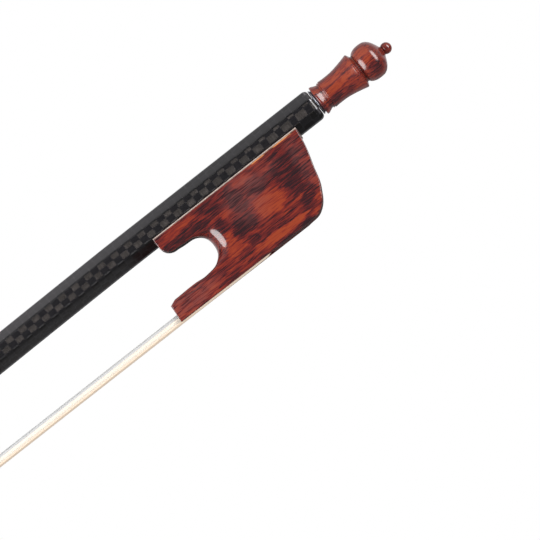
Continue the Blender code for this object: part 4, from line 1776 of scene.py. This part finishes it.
@dataclass
class Studio:
    """Pale floor, soft light and the camera of the photograph.

    Attributes:
        distance: from the camera to the bow.
        width: what the picture is wide at the bow.
        roll: degrees that the bow rises to the right in the picture.
        rise: degrees that the camera stands above the bow.
        along: place of the picture's middle along the bow, from the butt.
        below: how far the picture's middle is under the handle's axis.
        floor_size: width of the floor.
        floor_gap: from the bow down to the floor.
        softboxes: the lights.
    """

    plan: Plan
    distance: float = 1.5
    width: float = 131.7 * MM
    roll: float = 38.13
    rise: float = -3.0
    along: float = -33.80 * MM
    below: float = 25.14 * MM
    floor_size: float = 6.0
    floor_gap: float = 0.05 * MM
    softboxes: tuple[Softbox, ...] = (
        Softbox("left_softbox", -55.0, 7.0, 22.0, 29.0, 10.5),
        Softbox("right_softbox", 54.0, 7.0, 13.0, 29.0, 12.0),
    )

    def camera(self) -> None:
        """Add the camera that shows the frog end at the photograph's angle."""
        tilt, turn = math.radians(self.rise), math.radians(self.roll)
        back = Vector((0, -math.cos(tilt), math.sin(tilt)))
        right = Vector((1, 0, 0))
        up = back.cross(right)
        target_z = self.plan.axis_z - self.below / math.cos(tilt)
        target = Vector((self.plan.butt_x + self.along, 0, target_z))
        turned_right = right * math.cos(turn) - up * math.sin(turn)
        turned_up = right * math.sin(turn) + up * math.cos(turn)
        lens = bpy.data.cameras.new("photo_camera")
        lens.lens = lens.sensor_width * self.distance / self.width
        lens.clip_start = 0.01
        eye = bpy.data.objects.new("photo_camera", lens)
        place = Matrix((turned_right, turned_up, back)).transposed().to_4x4()
        place.translation = target + back * self.distance
        eye.matrix_world = place
        bpy.context.scene.collection.objects.link(eye)
        bpy.context.scene.camera = eye

    def hang(self, box: Softbox) -> None:
        """Hang one softbox so that it faces the frog.

        Args:
            box: the softbox.
        """
        turn, rise = math.radians(box.turn), math.radians(box.rise)
        away = Vector((math.sin(turn) * math.cos(rise), -math.cos(turn) * math.cos(rise), math.sin(rise)))
        light = bpy.data.lights.new(box.name, "AREA")
        light.shape = "ELLIPSE"
        light.size = 2 * box.distance * math.tan(math.radians(box.half_width))
        light.size_y = 2 * box.distance * math.tan(math.radians(box.half_height))
        light.energy = box.radiance * math.pi * light.size * light.size_y * math.pi / 4
        holder = bpy.data.objects.new(box.name, light)
        inside_frog = Vector((self.plan.butt_x - 20 * MM, 0, 14 * MM))
        holder.location = inside_frog + away * box.distance
        side = Vector((0, 0, 1)).cross(away).normalized()
        holder.rotation_euler = Matrix((side, away.cross(side), away)).transposed().to_euler()
        holder.visible_camera = False
        bpy.context.scene.collection.objects.link(holder)

    def world(self) -> None:
        """Set a white background, light from above and from the sides, and a paler bounce from below."""
        world = bpy.data.worlds.new("studio")
        bpy.context.scene.world = world
        graph = Graph(world)
        graph.tree.nodes.clear()
        x, y, z = graph.split(graph.value("TexCoord", "Generated"))
        aside = abs(x).eased(0.06, 0.28, 0.0, 0.75) * z.eased(-0.30, -0.10)
        rim = greatest([z.eased(0.02, 0.20, 0.0, 0.55), z.eased(-0.15, -0.45, 0.0, 0.36), aside])
        above = z.eased(0.30, 0.72, 0.0, 0.50)
        sides = abs(x).eased(0.55, 0.85, 0.0, 0.40) * z.eased(-0.30, 0.0)
        behind = y.eased(0.10, 0.60) * rim
        under = z.eased(-0.55, -0.85, 0.0, 0.12)
        mirrored_light = greatest([above, sides, behind, under]) + 0.02
        soft_light = z.eased(-0.1, 0.6, 0.0, 0.75) + z.eased(-0.6, 0.1, 1.0, 0.10)
        glossy = graph.value("LightPath", "Is Glossy Ray")
        strength = mirrored_light * glossy + soft_light * (1.0 - glossy)
        light = graph.value("Background", Color=(0.97, 0.98, 1.0), Strength=strength)
        seen = graph.value("Background", Color=(1.0, 1.0, 1.0), Strength=1.0)
        camera = graph.value("LightPath", "Is Camera Ray")
        output = graph.tree.nodes.new("ShaderNodeOutputWorld")
        graph.feed(output, Surface=graph.value("MixShader", i0=camera, i1=light, i2=seen))

    def floor(self) -> None:
        """Add a pale floor under the bow, seen only from above. It keeps no light from the bow."""
        deselect_all()
        floor_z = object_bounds()[0][2] - self.floor_gap
        bpy.ops.mesh.primitive_plane_add(size=self.floor_size, location=(0, 0, floor_z))
        plane = bpy.context.object
        plane.name = "floor"
        graph = Graph(bpy.data.materials.new("pale_floor"))
        grain = graph.noise(graph.value("TexCoord", "Object"), 900.0)
        colour = graph.mix(grain, (0.80, 0.80, 0.80), (0.84, 0.84, 0.84))
        graph.feed(graph.shader, Base_Color=colour, Roughness=0.8)
        from_below = graph.value("NewGeometry", "Backfacing")
        pale, clear = Value(graph, graph.shader.outputs[0]), graph.value("BsdfTransparent")
        surface = graph.value("MixShader", i0=from_below, i1=pale, i2=clear)
        graph.feed(graph.tree.nodes["Material Output"], Surface=surface)
        plane.data.materials.append(graph.owner)
        plane.visible_glossy = False
        plane.visible_diffuse = False
        plane.visible_shadow = False
        plane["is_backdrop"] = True

    def build(self) -> None:
        """Set up the whole studio."""
        bpy.context.scene.view_settings.view_transform = "Standard"
        self.camera()
        self.world()
        self.floor()
        for box in self.softboxes:
            self.hang(box)


# The figure's patches as (along, down or up, half length, half height, depth), in mm from the corner.
FROG_FIGURE = tuple(FigurePatch(along, -down, *sizes) for along, down, *sizes in (
    (6.0, 3.8, 6.4, 0.95, 0.9), (15.8, 1.9, 4.6, 1.5, 0.45), (17.5, 4.0, 3.2, 1.4, 0.45),
    (12.2, 4.6, 2.6, 0.8, 0.6), (15.3, 7.8, 2.6, 1.5, 0.85), (20.0, 10.9, 3.6, 2.2, 0.95),
    (21.9, 4.8, 2.2, 4.7, 0.9), (29.5, 5.3, 6.6, 1.9, 0.7), (37.0, 6.0, 5.0, 4.6, 0.75),
    (38.5, 1.9, 4.5, 1.2, 0.5), (36.5, 10.0, 4.0, 2.4, 0.9), (36.6, 12.9, 3.2, 0.9, 0.7),
    (35.3, 15.7, 2.4, 1.5, 0.8), (39.0, 14.4, 2.1, 0.6, 0.5), (19.2, 15.5, 1.6, 1.3, 0.85),
    (26.5, 15.5, 6.0, 0.22, 0.8), (13.0, 17.4, 4.5, 0.26, 0.7), (22.5, 17.0, 5.0, 0.22, 0.7),
    (27.8, 20.0, 6.8, 0.75, 0.8), (9.0, 19.4, 3.2, 0.4, 0.4), (6.3, 17.5, 2.4, 0.7, 0.45),
    (1.0, 15.8, 7.0, 0.35, 0.3), (16.5, 18.8, 3.0, 0.7, 0.4), (7.2, 1.4, 4.6, 1.0, -0.35),
    (18.3, 5.9, 1.9, 1.1, -0.7), (25.8, 1.7, 3.6, 1.3, -0.45), (31.5, 2.4, 2.2, 1.6, -0.35),
    (27.6, 10.3, 4.6, 3.1, -0.9), (14.6, 14.0, 2.9, 1.8, -0.8), (25.6, 18.2, 8.0, 1.10, -1.0),
    (15.2, 11.4, 1.4, 1.4, -0.6), (-1.0, 18.2, 8.0, 2.2, -0.60), (36.2, 19.4, 2.2, 1.2, -0.7),
    (40.1, 13.4, 1.2, 1.6, -0.6), (41.0, 7.4, 1.6, 0.7, -0.6), (34.0, 13.9, 1.6, 0.5, -0.6),
    (38.5, 17.0, 1.6, 0.8, -0.7),
))
FROG_SHEEN = tuple(FigurePatch(along, -down, *sizes) for along, down, *sizes in (
    (23.5, 6.0, 6.5, 7.5, 0.26), (30.0, 3.0, 6.0, 3.5, 0.18), (40.5, 8.0, 3.0, 10.0, 0.20),
    (-2.0, 17.5, 9.5, 3.2, 0.32),
))
# The button's patches are partly its figure and partly painted light: the light ones, mostly above its axis,
# and the dark ones, mostly below it, paint it lit from above and shaded underneath.
BUTTON_FIGURE_AND_SHADING = tuple(FigurePatch(*row) for row in (
    (5.0, -1.6, 2.3, 0.75, 0.95), (8.2, -2.3, 2.2, 0.5, 0.5), (6.5, 1.50, 6.6, 0.15, 0.75),
    (0.8, -2.6, 1.2, 1.3, 0.6), (16.3, -1.5, 1.5, 0.7, 0.85), (17.0, -2.7, 1.2, 0.9, 0.6),
    (15.7, 3.3, 2.6, 0.22, 0.5), (4.0, -3.3, 4.0, 0.4, 0.5), (7.6, 0.4, 4.2, 0.7, -0.8),
    (15.4, 0.5, 1.8, 0.8, -0.6), (15.8, 3.0, 2.6, 1.3, -0.8), (7.0, 2.5, 6.0, 0.8, -0.7),
))


def dress_cad_nodes(hair: bpy.types.Material) -> None:
    """Give every CAD node that stays its finish.

    Args:
        hair: the finish of the hair's knots.
    """
    brass = MetalFinish((0.78, 0.58, 0.26), 0.25).build(Slot.BRASS.value)
    steel = MetalFinish((0.56, 0.57, 0.58), 0.28, (9000, 900, 900)).build(Slot.STEEL.value)
    wood = PlainWoodFinish().build(Slot.LIMEWOOD.value)
    thread = ThreadFinish().build(Slot.THREAD.value)
    looks = {
        "underslide_pin_front": brass, "underslide_pin_rear": brass, "eyelet": brass,
        "screw": steel, "head_plug": wood, "frog_plug": wood, "spread_wedge": wood,
        "head_knot_thread": thread, "frog_knot_thread": thread,
        "head_hair_knot": hair, "frog_hair_knot": hair,
    }
    for name, look in looks.items():
        data = frame["nodes"][name].data
        data.materials.clear()
        data.materials.append(look)


def main() -> None:
    """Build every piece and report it."""
    logging.basicConfig(level=logging.INFO, format="%(name)s: %(message)s")
    plan = Plan.read()
    hair_look = HorsehairFinish().build(Slot.HAIR.value)
    carbon = CarbonFinish().build(Slot.CARBON.value)
    frog_wood = SnakewoodFinish(
        (plan.frog_x, 0.0, plan.line_z), FROG_FIGURE, near_y=-5.0 * MM, edge_glint=(0.34, 0.12, 0.04),
        sheen=FROG_SHEEN,
    ).build("snakewood_frog_figure")
    button_wood = SnakewoodFinish(
        (plan.butt_x + COLLAR_LENGTH, 0.0, plan.axis_z), BUTTON_FIGURE_AND_SHADING, near_y=-4.0 * MM, seed=4.0,
        streak=1.0, warp_up=0.3, base=0.28, coat_roughness=0.20, grain_depth=0.002,
    ).build("snakewood_button_figure")
    LOG.info("finishes ready")
    silver = MetalFinish((0.56, 0.46, 0.41), 0.50, worn=0.12).build(Slot.SILVER.value)
    turned = MetalFinish((0.30, 0.32, 0.36), 0.42, (5000, 300, 300), scratch=0.0005)
    turned_silver = turned.build("turned_silver")
    dress_cad_nodes(hair_look)
    Studio(plan).build()
    LOG.info("studio ready")
    Stick(plan).build(carbon)
    LOG.info("stick built")
    Frog(plan).build(frog_wood)
    LOG.info("frog built")
    Liner(plan).build(silver)
    LOG.info("liner built")
    Button(plan).build(button_wood, turned_silver)
    LOG.info("button and collar built")
    Hair(plan).build(hair_look)
    LOG.info("hair built")


if __name__ == "__main__":
    main()
